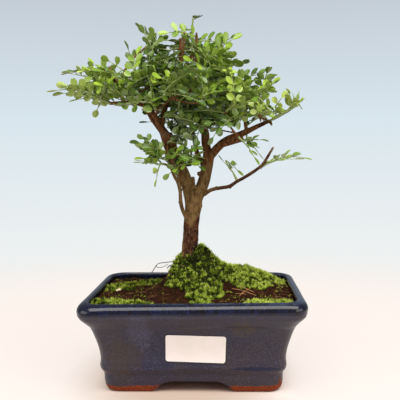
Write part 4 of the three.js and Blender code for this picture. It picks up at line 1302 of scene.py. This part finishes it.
blade = {
    "seed": 501,
    "seedStep": 13,
    "rows": [0.36, 0.76, 0.97, 1, 0.84, 0.42],  # half width at equal steps from foot to tip
    "notch": 0.05,
    "thickness": 0.16,  # mm
    "sunAndShade": [  # parts of the crown with painted light (paler leaves) and painted shade (darker leaves): centre and reach in mm, how much paler the leaves are there
        ((22, -25, 208), 17, 0.32), ((-28, -30, 197), 17, 0.28), ((32, -6, 228), 13, 0.3),
        ((-78, -18, 196), 24, 0.42), ((62, -12, 196), 22, 0.42), ((40, -14, 171), 16, 0.42),
        ((-32, -17, 156), 13, -0.08), ((0, -22, 168), 24, -0.2), ((-16, -4, 214), 20, -0.12),
        ((0, -20, 148), 15, -0.3),
    ],
    "greens": [  # from old leaves in painted shade to young leaves in painted light
        (0, (0.014, 0.042, 0.004)), (0.25, (0.085, 0.165, 0.01)), (0.55, (0.3, 0.43, 0.03)),
        (1, (0.62, 0.7, 0.18)),
    ],
    "mottle": (0.12, 0.2, 0.015),
    "midrib": (0.3, 0.4, 0.09),
    "underside": (0.2, 0.27, 0.06),
    "stems": [(0.12, 0.15, 0.03), (0.3, 0.34, 0.1)],
}
stalk = {  # mm
    "root": 0.6,  # how deep a shoot starts in its twig
    "shoot": (0.85, 0.7, 0.45),
    "shootSides": 8,
    "leaf": (0.52, 0.24),
    "leafSides": 6,
}


def makeLeaflet():
    steps = len(blade["rows"])
    bpy.ops.mesh.primitive_grid_add(x_subdivisions=4, y_subdivisions=steps, size=2, location=(0, 0, 0))
    leaflet = bpy.context.object
    editMode(leaflet)
    for row in range(steps + 1):
        level = -1 + 2 * row / steps
        width = blade["rows"][row - 1] if row else 0.02
        bpy.ops.mesh.select_all(action="DESELECT")
        choose(leaflet, "verts", lambda vertex: abs(vertex.co.y - level) < 0.01)
        bpy.ops.transform.resize(value=(width, 1, 1), center_override=(0, level, 0))
    bpy.ops.mesh.select_all(action="DESELECT")
    choose(leaflet, "verts", lambda vertex: vertex.co.y > 0.99 and abs(vertex.co.x) < 0.05)
    bpy.ops.transform.translate(value=(0, -2 * blade["notch"], 0))
    bpy.ops.mesh.select_all(action="DESELECT")
    choose(leaflet, "verts", lambda vertex: vertex.co.y > 0.99 and abs(vertex.co.x) > 0.5)
    bpy.ops.transform.translate(value=(0, -0.1, 0))
    objectMode()
    leaflet.location = (0, 1, 0)
    settle(leaflet)
    applyModifier(leaflet, "SOLIDIFY", thickness=1, offset=0)
    points, faces = takeShape(leaflet)
    return points * (1, 0.5, 1), faces


leafletPoints, leafletFaces = makeLeaflet()


def youthAndLightOf(plan, young):
    outer = crownShare(plan["tip"])
    # leaves on the crown's outside are painted paler and those inside darker: painted light and shade added
    # to their age
    youth = 0.15 + 0.26 * max(0, outer - 0.4) + (0.2 if young else 0)
    for centre, reach, paler in blade["sunAndShade"]:
        away = plan["tip"] - centre
        youth += paler * math.exp(-(away @ away) / reach ** 2)
    return youth


def leafyPiece(name, plans, young, seed, shoot=None):
    draw = seededDraws(seed)
    parts, values = [], []

    def keep(points, faces, across, out, under, youth, stem):  # the values that the finish reads
        parts.append((points, faces))
        rows = np.broadcast_arrays(np.zeros(len(points)), across, out, under, youth, stem)
        values.append(np.array(rows[1:]))

    if shoot is not None:
        start, end = shootEnds(shoot)
        start = start - unit(end - start) * stalk["root"]
        foot, middle, tip = stalk["shoot"]
        points, faces = tube([[*start, foot], [*(start * 0.4 + end * 0.6), middle], [*end, tip]],
                             stalk["shootSides"])
        keep(points, faces, 0, 0, 0, 0.3, 1)
    for plan in plans:
        youth = youthAndLightOf(plan, young) + draw(-0.22, 0.27)
        slim = np.linspace(*stalk["leaf"], len(plan["rachis"]))
        points, faces = tube([[*place, radius] for place, radius in zip(plan["rachis"], slim)],
                             stalk["leafSides"])
        keep(points, faces, 0, 0, 0, youth, 1)
        for root, axis, normal, size in plan["leaflets"]:
            broad = unit(np.cross(normal, axis))
            lift = unit(np.cross(axis, broad))
            twist = draw(-0.35, 0.35)
            broad, lift = turned(broad, axis, twist), turned(lift, axis, twist)
            fold, droop, curl = draw(0.05, 0.4), draw(-0.12, 0.16), draw(-0.25, 0.25)
            half = rule["leafletHalfWidth"] * (0.5 + 0.5 * size / rule["leafletLength"]) * draw(0.82, 0.98)
            across, out, skin = leafletPoints.T
            high = (fold * np.abs(across) * half - droop * out ** 2 * size
                    + curl * across * out + skin * blade["thickness"])
            points = (root + np.outer(out * size, axis) + np.outer(across * half, broad)
                      + np.outer(high, lift))
            keep(points, leafletFaces, across, out, skin < 0, youth + draw(-0.1, 0.1), 0)
    points, faces = joined(parts)
    piece = pieceFromArrays(name, points, faces)
    for title, row in zip(("across", "out", "under", "youth", "stem"), np.hstack(values)):
        pointValues(piece, title, row)
    faceOutwards(piece)
    smoothShade(piece, 55)
    return piece


def leafFinish(name):
    finish = Recipe(name, Specular_IOR_Level=0.45, Coat_Weight=0.24, Coat_Roughness=0.13)
    youth = finish.value("youth") + (finish.grain(9, 3) - 0.5) * 0.22
    greens = finish.node("ShaderNodeValToRGB", {"stops": blade["greens"]}, {"Fac": youth})
    across = finish.value("across").maths("ABSOLUTE")
    mottle = finish.grain(1.3, 4, 0.6)
    colour = finish.mix(mottle.between(0.3, 0.75) * 0.3, greens, blade["mottle"])
    colour = finish.mix(across.between(0.16, 0.02) * 0.45, colour, blade["midrib"])
    colour = finish.mix(finish.value("under") * 0.5, colour, blade["underside"])
    colour = finish.mix(finish.value("stem") * 0.8, colour, finish.mix(mottle, *blade["stems"]))
    veins = (finish.value("out") * 30 - across * 9).maths("SINE")
    height = veins * 0.12 + mottle * 0.4 + across.between(0.0, 0.2) * 0.5
    return finish.feed(Base_Color=colour, Roughness=0.2 + mottle * 0.15,
                       Normal=finish.relief(height, 0.12, 0.6))


leafMaterial = leafFinish("leaf")
youngMaterial = leafFinish("youngLeaf")
for owner, (shoot, plans) in enumerate(zip(shoots, leavesOf)):
    young = owner in youngShoots
    seed = blade["seed"] + blade["seedStep"] * owner
    piece = leafyPiece(f"shoot_leaves_{owner + 1:02d}", plans, young, seed, shoot)
    handOver(piece, piece.name, "young_leaf" if young else "leaf",
             youngMaterial if young else leafMaterial, f"leafy_shoot_{owner + 1:02d}")
print("shoots in leaf")

# More leaves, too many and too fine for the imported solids, between the others

filling = {
    "seed": 977,
    "triesEach": 120,
    "lengths": (13, 29),  # mm
    "share": 0.26,
    "steepest": 1.2,  # how far a leaf is turned about its own stalk
    "thickestTwig": 1.9,
    "lowest": 132,
    "around": 8,  # how far outside a pad its leaves may start
    "pads": [  # centre x, y, z, reach x, y, z in mm, leaves wanted
        (-6, 0, 202, 43, 44, 36, 200), (-62, -14, 198, 32, 26, 16, 34), (44, -8, 189, 30, 30, 17, 36),
        (-30, -18, 156, 13, 13, 12, 8), (0, -17, 149, 11, 12, 11, 6),
        (1, -12, 172, 15, 14, 13, 18), (-22, -12, 184, 16, 14, 12, 16),
    ],
    "keptOpen": [  # centre and reach of the air in front of the cut twigs
        ((-8.5, -22, 219), (4, 19, 14)), ((3, -14, 231), (4, 15, 9)), ((43, 0, 209), (17, 60, 6)),
        ((51, 0, 192.5), (8, 60, 5)), ((-43, 0, 223), (9, 60, 9)), ((-41, -6, 211), (4.5, 60, 5)),
        ((-18.5, -20, 165), (5, 14, 9)),
    ],
    "drawn": [  # leaves with a place of their own: start, tip, turn about the stalk
        ((-51, -18, 185), (-91, -24, 191.5), 0.5), ((-59, -22, 190), (-87, -28, 198), 1.25),
        ((-62, -14, 200), (-86, -18, 206), 0.4), ((-61, -16, 198), (-69, -18, 214), 1.1),
        ((-58, -12, 198), (-61, -14, 215), 1.2), ((-52, -18, 190), (-57, -22, 182), 1),
        ((-46, -20, 189), (-49, -22, 181), 1), ((-27, -6, 221), (-37, -8, 238), 0.7),
        ((-23, -4, 223), (-30, -4, 238), 1.1), ((12, -8, 218), (32, -12, 230), 1.3),
        ((15, -10, 215), (26, -14, 223), 1.1), ((45, -8, 190), (58, -10, 202), 1.15),
        ((54, -14, 183), (63, -16, 193), 1.25), ((41, -14, 181), (53, -16, 174), 0.6),
        ((0, -18, 175), (-5, -20, 156), 1.1), ((5, -18, 173), (2, -19, 157), -1),
        ((-4, -20, 180), (-11, -22, 166), 1.1), ((-10, -19, 154), (4, -21, 147), 1.25),
        ((-1, -18, 158), (8, -20, 154), 1), ((19, -18, 174), (10, -20, 158), 1),
        ((25, -24, 175), (15, -25, 164), -1), ((29, -18, 180), (22, -19, 167), 0.9),
        ((33, -18, 179), (29, -19, 166), 1.2), ((33, -8, 162), (45, -9, 147), 0.15),
        ((35, -6, 161), (43, -7, 155), 0.5), ((21, -10, 148), (32, -10, 136), 0.2),
        ((45, -8, 143), (73, -9, 147), 0.2), ((-25, -16, 146), (-40, -17, 147), 0.4),
        ((-11, -20, 144), (-20, -21, 134.5), 1.2), ((-28, -17, 160), (-39, -18, 165), 1.1),
        ((-1, -20, 167), (-5, -21, 155), 1.1), ((-49, -12, 210), (-64, -14, 215), 0.9),
        ((-24, -16, 155), (-37, -18, 155), 0.9),
    ],
    "drawnTries": 30,
    "drawnLoose": 0.15,  # how much further a drawn leaf may move at each try
    "drawnShare": 0.12,
    "sectors": 6,
    "bladeSeed": 2203,
    "bladeSeedStep": 31,
}


def inOpenAir(bead):
    return any((((np.array(bead[:3]) - centre) / reach) ** 2).sum() < 1
               for centre, reach in filling["keptOpen"])


def bladeBeads(plan):
    return [bead for bead in plan["beads"] if bead[3] > rule["rachisBead"]]


def drawnLeaves(draw, sites):
    found = []
    for start, end, lean in filling["drawn"]:
        for attempt in range(filling["drawnTries"]):
            loose = attempt * filling["drawnLoose"]
            base, tip = (np.array([value + draw(-loose, loose) for value in place])
                         for place in (start, end))
            plan = leafPlan(base, tip, lean, draw)
            beads = bladeBeads(plan)
            if isClear(beads, -1, wood, filling["drawnShare"]):
                root = sites[np.argmin(((sites[:, :3] - base) ** 2).sum(1))][:3]
                bow = (root + base) / 2 - (0, 0, 0.1 * math.dist(root, base))
                plan["rachis"] = [root, bow, *plan["rachis"]]
                addLeafBeads(beads, -1)
                found.append(plan)
                break
    print("drawn leaves set:", len(found), "of", len(filling["drawn"]))
    return found


def fillPads():  # drawn leaves first, then as many as each pad of the crown has room for
    draw = seededDraws(filling["seed"])
    sites = [bead for bead in woodBeads
             if bead[3] < filling["thickestTwig"] and bead[2] > filling["lowest"]]
    for shoot in shoots:
        start, end = shootEnds(shoot)
        sites += [[*(start + (end - start) * share), 0.8] for share in (0.2, 0.5, 0.8, 1)]
    sites = np.array(sites)
    found = drawnLeaves(draw, sites)
    for x, y, z, wide, deep, tall, wanted in filling["pads"]:
        centre, reach = np.array((x, y, z)), np.array((wide, deep, tall))
        near = sites[(((sites[:, :3] - centre) / (reach + filling["around"])) ** 2).sum(1) < 1]
        got = 0
        for attempt in range(filling["triesEach"] * wanted):
            if got == wanted:
                break
            site = near[int(draw(0, len(near)))]
            tip = centre + reach * [draw(-1, 1) for _ in range(3)]
            lean = draw(-filling["steepest"], filling["steepest"])
            way = tip - site[:3]
            length = math.sqrt(way @ way)
            outside = (((tip - centre) / reach) ** 2).sum() > 1
            if outside or not filling["lengths"][0] < length < filling["lengths"][1]:
                continue
            plan = leafPlan(site[:3] + way / length * site[3] * 0.7, tip, lean, draw)
            beads = bladeBeads(plan)
            if not any(inOpenAir(bead) for bead in beads) and isClear(beads, -1, wood, filling["share"]):
                addLeafBeads(beads, -1)
                found.append(plan)
                got += 1
        print("pad filled:", got, "of", wanted)
    return found


more = fillPads()
sectors = [[] for _ in range(filling["sectors"])]
for plan in more:
    angle = math.atan2(plan["tip"][1], plan["tip"][0] + 6) / (2 * math.pi) + 0.5
    sectors[int(angle * filling["sectors"]) % filling["sectors"]].append(plan)
for index, plans in enumerate(sectors):
    seed = filling["bladeSeed"] + filling["bladeSeedStep"] * index
    piece = leafyPiece(f"crown_leaves_{index + 1}", plans, False, seed)
    handOver(piece, piece.name, "leaf", leafMaterial)
print("crown filled:", len(more), "more leaves")

# Soil


def soilFinish():
    finish = Recipe("peat", Specular_IOR_Level=0.05)
    crumbs = finish.cells(1.1)
    fibres = finish.grain(0.9, 5, 0.7, (1, 1, 0.5), 1.2)
    damp = finish.grain(16, 4)
    colour = finish.mix(fibres.between(0.36, 0.66), *bed["peat"])
    colour = finish.mix(damp.between(0.4, 0.62) * 0.4, colour, bed["damp"])
    colour = finish.mix(crumbs.between(0.12, 0.02) * 0.3, colour, bed["crumb"])
    return finish.feed(Base_Color=colour, Roughness=0.72 + fibres * 0.25,
                       Normal=finish.relief(fibres + crumbs * 0.6, 0.5, 0.9))


soilMaterial = soilFinish()
handOver(makeSoil(), "peat_bed", "soil", soilMaterial, "soil")
print("soil filled in")

# Moss: a closed carpet for each patch, set with sprigs that are copies of four modelled ones

moss = {  # mm
    "step": 0.75,
    "fringe": 0.9,
    "sink": 0.7,
    "settled": 2.1,  # how much lower the carpet is than the solid, so that the sprigs end at its height
    "fuzz": 0.35,
    "cushion": 6.5,  # size of the cushions that the moss grows in
    "cushionRise": 2,
    "tuft": 2.3,  # size of the tufts in them
    "tuftRise": 1.3,
    "sprigs": {"moss_mound": 2700, "moss_left": 420, "moss_front_left": 330, "moss_front_right": 330},
    "scattered": 420,
    "heights": (1.7, 3.3),
    "loneHeights": (0.8, 1.7),
    "bladesEach": 10,
    "bladeLean": (0.25, 1.25),
    "bladeTurn": 2.4,  # from one blade of a sprig to the next
    "bladeLength": (0.55, 0.9),  # over the length of the middle one
    "bladeThick": (0.1, 0.17),
    "sprigSeeds": (71, 72, 73, 74),
    "spotSeed": 6007,
    "frameSeed": 6101,
    "loneSeeds": (6211, 6217),
    # x, y and reach of each place, and how deep or high it is
    "hollows": [(-1.5, -8, 3, 2.6), (-1, -12, 2.6, 1.8), (9, -15, 3.5, 1.2), (15, -25, 5, 1)],
    "shoulders": [(-13, 0, 5, 1.2), (10, 4, 5, 1)],
    "bare": [(18, -34, 9), (-16, -26, 7), (24, -14, 5), (-42, 12, 5), (-24, -3, 6), (-26, 8, 5)],
    "greens": [  # from the shade between the tufts to the lit tips
        (0, (0.006, 0.005, 0.0015)), (0.2, (0.04, 0.058, 0.005)), (0.45, (0.24, 0.34, 0.02)),
        (1, (0.85, 0.88, 0.22)),
    ],
    "dry": (0.3, 0.2, 0.06),
}


def copied(points, faces, frames, origins):  # one copy of the shape in each frame
    count = len(origins)
    places = np.einsum("vk,nkj->nvj", points, frames) + origins[:, None]
    shift = np.arange(count)[:, None, None] * len(points)
    return places.reshape(-1, 3), (np.asarray(faces)[None] + shift).reshape(count * len(faces), -1)


def framesFor(draw, count, low, high, tilt):  # turned at will, leaning up to the tilt, scaled
    frames = np.zeros((count, 3, 3))
    for index in range(count):
        turn, lean, way = draw(0, 2 * math.pi), draw(0, tilt), draw(0, 2 * math.pi)
        upright = np.array((math.sin(lean) * math.cos(way), math.sin(lean) * math.sin(way), math.cos(lean)))
        first = unit(np.cross((math.sin(turn), -math.cos(turn), 0.3), upright))
        frames[index] = np.array((first, np.cross(upright, first), upright)) * draw(low, high)
    return frames


def leaning(lean, turn):  # a unit vector that leans off the vertical
    return Vector((math.sin(lean) * math.cos(turn), math.sin(lean) * math.sin(turn), math.cos(lean)))


def makeSprig(seed):  # a tall blade in the middle and the others round it
    draw = seededDraws(seed)
    cones = []
    for index in range(moss["bladesEach"]):
        lean = draw(*moss["bladeLean"]) if index else 0.05
        turn = index * moss["bladeTurn"] + draw(-0.3, 0.3)
        length = draw(*moss["bladeLength"]) if index else 1
        way = leaning(lean, turn)
        bpy.ops.mesh.primitive_cone_add(
            vertices=3, radius1=draw(*moss["bladeThick"]), depth=length,
            location=way * (length / 2 - 0.1), rotation=way.to_track_quat("Z", "Y").to_euler())
        cones.append(bpy.context.object)
    pickUp(*cones)
    bpy.ops.object.join()
    sprig = bpy.context.object
    settle(sprig)
    editMode(sprig, "FACE")
    bpy.ops.mesh.select_all(action="SELECT")
    bpy.ops.mesh.quads_convert_to_tris()
    faceOutwards(sprig)
    return takeShape(sprig)


def lumps(x, y, size):  # 0.5 in the middle of a lump of moss, below 0 between them
    return np.array([0.5 - noise.voronoi((a / size, b / size, 0.3))[0][0] for a, b in zip(x, y)])


def mossLight(x, y):  # how pale the sprigs are
    light = 0.5 + 0.45 * roughness(x, y, 9, 2.2) + 0.5 * lumps(x, y, moss["cushion"])
    light = light + 2 * lumps(x, y, moss["tuft"])
    for cx, cy, reach, depth in moss["hollows"]:
        light = light - 0.2 * depth * nearness(x, y, cx, cy, reach)
    light = light + 0.22 * nearness(x, y, 9, -28, 13)
    return np.clip(light + 0.43 * np.clip((x - 10) / 14, 0, 1), 0, 1.25)


def mossShape(ovals, x, y):
    growth = mossThickness(ovals, x, y) + moss["fringe"] * roughness(x, y, 2.4, 3.3)
    for cx, cy, reach in moss["bare"]:
        growth = growth - 6 * nearness(x, y, cx, cy, reach)
    return np.where(insideBed(x, y, 0.5), growth, -1)


def mossTop(ovals, x, y):
    relief = moss["fuzz"] * roughness(x, y, 1.4, 6.1) + moss["cushionRise"] * lumps(x, y, moss["cushion"])
    relief = relief + moss["tuftRise"] * lumps(x, y, moss["tuft"])
    for cx, cy, reach, depth in moss["hollows"]:
        relief = relief - depth * nearness(x, y, cx, cy, reach)
    for cx, cy, reach, rise in moss["shoulders"]:
        relief = relief + rise * nearness(x, y, cx, cy, reach)
    return soilHeight(x, y) + np.maximum(mossShape(ovals, x, y) - moss["settled"] + relief, 0.2)


def makeCarpet(ovals):  # the faces of a closed slab on a grid
    step = moss["step"]
    low = np.min([(x - wide - 3, y - deep - 3) for x, y, wide, deep, _ in ovals], axis=0)
    high = np.max([(x + wide + 3, y + deep + 3) for x, y, wide, deep, _ in ovals], axis=0)
    across, along = np.meshgrid(np.arange(low[0], high[0], step),
                                np.arange(low[1], high[1], step), indexing="ij")
    x, y = across.ravel(), along.ravel()
    alive = (mossShape(ovals, x, y) > 0.15).reshape(across.shape)
    cells = alive[:-1, :-1] & alive[1:, :-1] & alive[:-1, 1:] & alive[1:, 1:]
    wide = across.shape[1]
    total = len(x)
    top, under = mossTop(ovals, x, y), soilHeight(x, y) - moss["sink"]
    points = np.vstack([np.stack((x, y, top), 1), np.stack((x, y, under), 1)])
    faces = []
    for i, j in zip(*np.nonzero(cells)):
        a, b, c, d = i * wide + j, (i + 1) * wide + j, (i + 1) * wide + j + 1, i * wide + j + 1
        faces.append((a, b, c, d))
        faces.append((d + total, c + total, b + total, a + total))
        for first, second, di, dj in ((a, b, 0, -1), (b, c, 1, 0), (c, d, 0, 1), (d, a, -1, 0)):
            ni, nj = i + di, j + dj
            inside = 0 <= ni < cells.shape[0] and 0 <= nj < cells.shape[1] and cells[ni, nj]
            if not inside:
                faces.append((second, first, first + total, second + total))
    used = np.unique(faces)
    place = np.zeros(2 * total, int)
    place[used] = np.arange(len(used))
    return points[used], place[np.array(faces)]


def sprigsOn(draw, wanted, test):
    spots = []
    while len(spots) < wanted:
        batch = np.array([(draw(-70, 70), draw(-50, 50)) for _ in range(4000)])
        spots.extend(batch[test(batch[:, 0], batch[:, 1])].tolist())
    return np.array(spots[:wanted])


def mossPiece(name, spots, tops, carpet, seed, heights):
    draw = seededDraws(seed)
    parts, shades = [], []
    if carpet is not None:
        points, faces = carpet
        parts.append((points, faces.tolist()))
        shades.append(0.08 * mossLight(points[:, 0], points[:, 1]))
    light = mossLight(spots[:, 0], spots[:, 1])
    for index, (points, faces) in enumerate(sprigModels):
        mine = np.arange(index, len(spots), len(sprigModels))
        frames = framesFor(draw, len(mine), *heights, 0.6)
        origins = np.column_stack((spots[mine], tops[mine] - 0.15))
        placed, placedFaces = copied(points, faces, frames, origins)
        parts.append((placed, placedFaces.tolist()))
        rise = np.clip(points[:, 2] * 1.1 + 0.05, 0, 1)
        vary = np.array([draw(-0.22, 0.22) for _ in mine])
        shades.append((rise[None] * (light[mine] + vary)[:, None] * 1.1 + 0.05).ravel())
    points, faces = joined(parts)
    piece = pieceFromArrays(name, points, faces)
    pointValues(piece, "shade", np.clip(np.concatenate(shades), 0, 1))
    smoothShade(piece, 35)
    return piece


def mossFinish():
    finish = Recipe("moss", Specular_IOR_Level=0.06)
    speck = finish.grain(0.9, 4, 0.7)
    patch = finish.grain(6, 3)
    greens = finish.node("ShaderNodeValToRGB", {"stops": moss["greens"]},
                         {"Fac": finish.value("shade") + (speck - 0.5) * 0.25})
    colour = finish.mix(patch.between(0.6, 0.74) * 0.3, greens, moss["dry"])
    return finish.feed(Base_Color=colour, Roughness=0.7 + speck * 0.25,
                       Normal=finish.relief(speck, 0.3, 0.7))


mossMaterial = mossFinish()
sprigModels = [makeSprig(seed) for seed in moss["sprigSeeds"]]
for order, (name, ovals) in enumerate(mossOvals.items()):
    draw = seededDraws(moss["spotSeed"] + order)
    spots = sprigsOn(draw, moss["sprigs"][name], lambda x, y: mossShape(ovals, x, y) > 0.3)
    tops = mossTop(ovals, spots[:, 0], spots[:, 1])
    piece = mossPiece(f"{name}_sprigs", spots, tops, makeCarpet(ovals), moss["frameSeed"] + order,
                      moss["heights"])
    handOver(piece, piece.name, "moss", mossMaterial, name)
everyOval = [oval for ovals in mossOvals.values() for oval in ovals]


def loneMoss(x, y):
    bare = insideBed(x, y, 1) & (mossShape(everyOval, x, y) < 0.3)
    edge = np.abs(x) / 62 + np.abs(y + 8) / 60
    return bare & (roughness(x, y, 5.2, 4.4) + 0.5 * roughness(x, y, 1.7, 9.1) + 0.5 * edge > 0.55)


spotSeed, frameSeed = moss["loneSeeds"]
spots = sprigsOn(seededDraws(spotSeed), moss["scattered"], loneMoss)
scattered = mossPiece("moss_scattered", spots, soilHeight(*spots.T), None, frameSeed, moss["loneHeights"])
handOver(scattered, "moss_scattered", "moss", mossMaterial)
print("moss set out")

# Crumbs, straws, rootlets and a chip on the soil

litter = {  # mm
    "crumbSeed": 8111,
    "strawSeed": 8219,
    "crumbs": 4200,
    "crumbSizes": (0.25, 0.85),
    "straws": 90,
    "strawLength": (2.5, 7),
    "strawRadius": 0.17,
    "heap": [  # the pale straws at the right: start x, y, end x, y, height of the end
        (25, -12, 36, -15, 1.2), (29, -8, 38, -13, 0.8), (31, -17, 37, -11, 2), (34, -13, 41, -18, 0.6),
        (27, -17, 35, -19, 1.4), (36, -10, 40, -14, 0.5), (30, -20, 33, -14, 1),
    ],
    "chip": (-54.4, -1, 1.2),  # x, y, height over the soil
    "chipSize": (3.5, 2, 0.5),
    "chipTurn": (0.35, -0.2, 0.4),
    "rootlets": [
        [(-14.3, 77.2), (-18.5, 76.9), (-22, 76.5), (-25.6, 76.1), (-28, 74.7), (-27, 73), (-23.5, 73.3),
         (-19.9, 75.4)],
        [(-17.1, 74.7), (-19, 74.2), (-20.7, 72.3)], [(-28, 74.7), (-29.8, 71.9), (-31.7, 69)],
        [(-10, 77), (-14.3, 77.2)],
    ],
    "rootletDepth": 4,
}


def bareSoil(x, y):
    return insideBed(x, y, 0.4) & (mossShape(everyOval, x, y) < 0.5)


def makeCrumbs():
    draw = seededDraws(litter["crumbSeed"])
    bpy.ops.mesh.primitive_ico_sphere_add(subdivisions=1, radius=1)
    points, faces = takeShape(bpy.context.object)
    points = points * [[1, 0.8, 0.6]] * (1 + 0.2 * np.sin(points.sum(1, keepdims=True) * 7))
    spots = sprigsOn(draw, litter["crumbs"], bareSoil)
    sizes = np.array([draw(0, 1) ** 2.2 for _ in spots])
    low, high = litter["crumbSizes"]
    frames = framesFor(draw, len(spots), 1, 1, 1.2) * (low + (high - low) * sizes)[:, None, None]
    tops = soilHeight(*spots.T) + clods(*spots.T) + 0.12
    placed, placedFaces = copied(points, faces, frames, np.column_stack((spots, tops)))
    crumbs = pieceFromArrays("peat_crumbs", placed, placedFaces.tolist())
    pointValues(crumbs, "shade", np.repeat([draw(0, 1) for _ in spots], len(points)))
    smoothShade(crumbs, 30)
    return crumbs


def strawBetween(start, end, draw, radius):
    start, end = np.array(start, float), np.array(end, float)
    middle = (start + end) / 2 + [draw(-0.5, 0.5), draw(-0.5, 0.5), draw(0, 0.6)]
    route = curveThrough([[*start, radius], [*middle, radius * 0.9], [*end, radius * 0.5]], 3)
    return tube(route, 6)


def makeStraws():
    draw = seededDraws(litter["strawSeed"])
    parts, shades = [], []
    for x, y, endX, endY, rise in litter["heap"]:
        start = (x, y, soilHeight(x, y) + 0.4)
        end = (endX, endY, soilHeight(endX, endY) + 0.4 + rise)
        parts.append(strawBetween(start, end, draw, litter["strawRadius"] * draw(0.9, 1.3)))
        shades.append(np.full(len(parts[-1][0]), 1.0))
    for x, y in sprigsOn(draw, litter["straws"], bareSoil):
        turn, length = draw(0, 2 * math.pi), draw(*litter["strawLength"])
        endX, endY = x + math.cos(turn) * length, y + math.sin(turn) * length
        if insideBed(endX, endY, 1):
            start = (x, y, soilHeight(x, y) + 0.3)
            end = (endX, endY, soilHeight(endX, endY) + draw(0.3, 1.2))
            parts.append(strawBetween(start, end, draw, litter["strawRadius"] * draw(0.6, 1)))
            shades.append(np.full(len(parts[-1][0]), draw(0, 0.45)))
    straws = pieceFromArrays("straws", *joined(parts))
    pointValues(straws, "shade", np.concatenate(shades))
    smoothShade(straws, 60)
    return straws


def makeRootlets():
    parts = []
    for route in litter["rootlets"]:
        depth = litter["rootletDepth"]
        points = [[x, depth + 0.6 * math.sin(x), z, 0.3 - 0.02 * index]
                  for index, (x, z) in enumerate(route)]
        parts.append(tube(curveThrough(points, 4), 8))
    rootlets = pieceFromArrays("rootlets", *joined(parts))
    smoothShade(rootlets, 60)
    return rootlets


def makeChip():
    x, y, rise = litter["chip"]
    place = (potCentre + x * mm, y * mm, (soilHeight(x, y) + rise) * mm)
    bpy.ops.mesh.primitive_cube_add(size=1, location=place)
    chip = bpy.context.object
    chip.scale = Vector(litter["chipSize"]) * mm
    chip.rotation_euler = litter["chipTurn"]
    editMode(chip, "VERT")
    choose(chip, "verts", lambda vertex: vertex.co.x > 0 and vertex.co.y > 0)
    bpy.ops.transform.resize(value=(0.5, 0.4, 1))
    bpy.ops.mesh.select_all(action="SELECT")
    bpy.ops.mesh.subdivide(number_cuts=2)
    objectMode()
    settle(chip)
    applyModifier(chip, "BEVEL", width=0.08 * mm, segments=2)
    smoothShade(chip, 40)
    return chip


def litterFinish(name, dark, pale, attribute=None):
    finish = Recipe(name, Specular_IOR_Level=0.08)
    speck = finish.grain(0.8, 4, 0.7)
    share = speck.between(0.3, 0.7)
    if attribute:
        share = finish.value(attribute) * 0.75 + speck * 0.35
    return finish.feed(Base_Color=finish.mix(share, dark, pale), Roughness=0.65 + speck * 0.3,
                       Normal=finish.relief(speck, 0.2, 0.7))


crumbFinish = litterFinish("crumb", (0.004, 0.0014, 0.0005), (0.07, 0.024, 0.01), "shade")
strawFinish = litterFinish("straw", (0.03, 0.01, 0.004), (0.5, 0.24, 0.11), "shade")
rootletFinish = litterFinish("rootlet", (0.012, 0.01, 0.01), (0.05, 0.035, 0.028))
chipFinish = litterFinish("chip", (0.4, 0.3, 0.17), (0.75, 0.62, 0.42))
handOver(makeCrumbs(), "peat_crumbs", "soil", crumbFinish)
handOver(makeStraws(), "straws", "soil", strawFinish)
handOver(makeRootlets(), "rootlets", "bark", rootletFinish)
handOver(makeChip(), "pale_chip", "soil", chipFinish)
print("litter strewn")
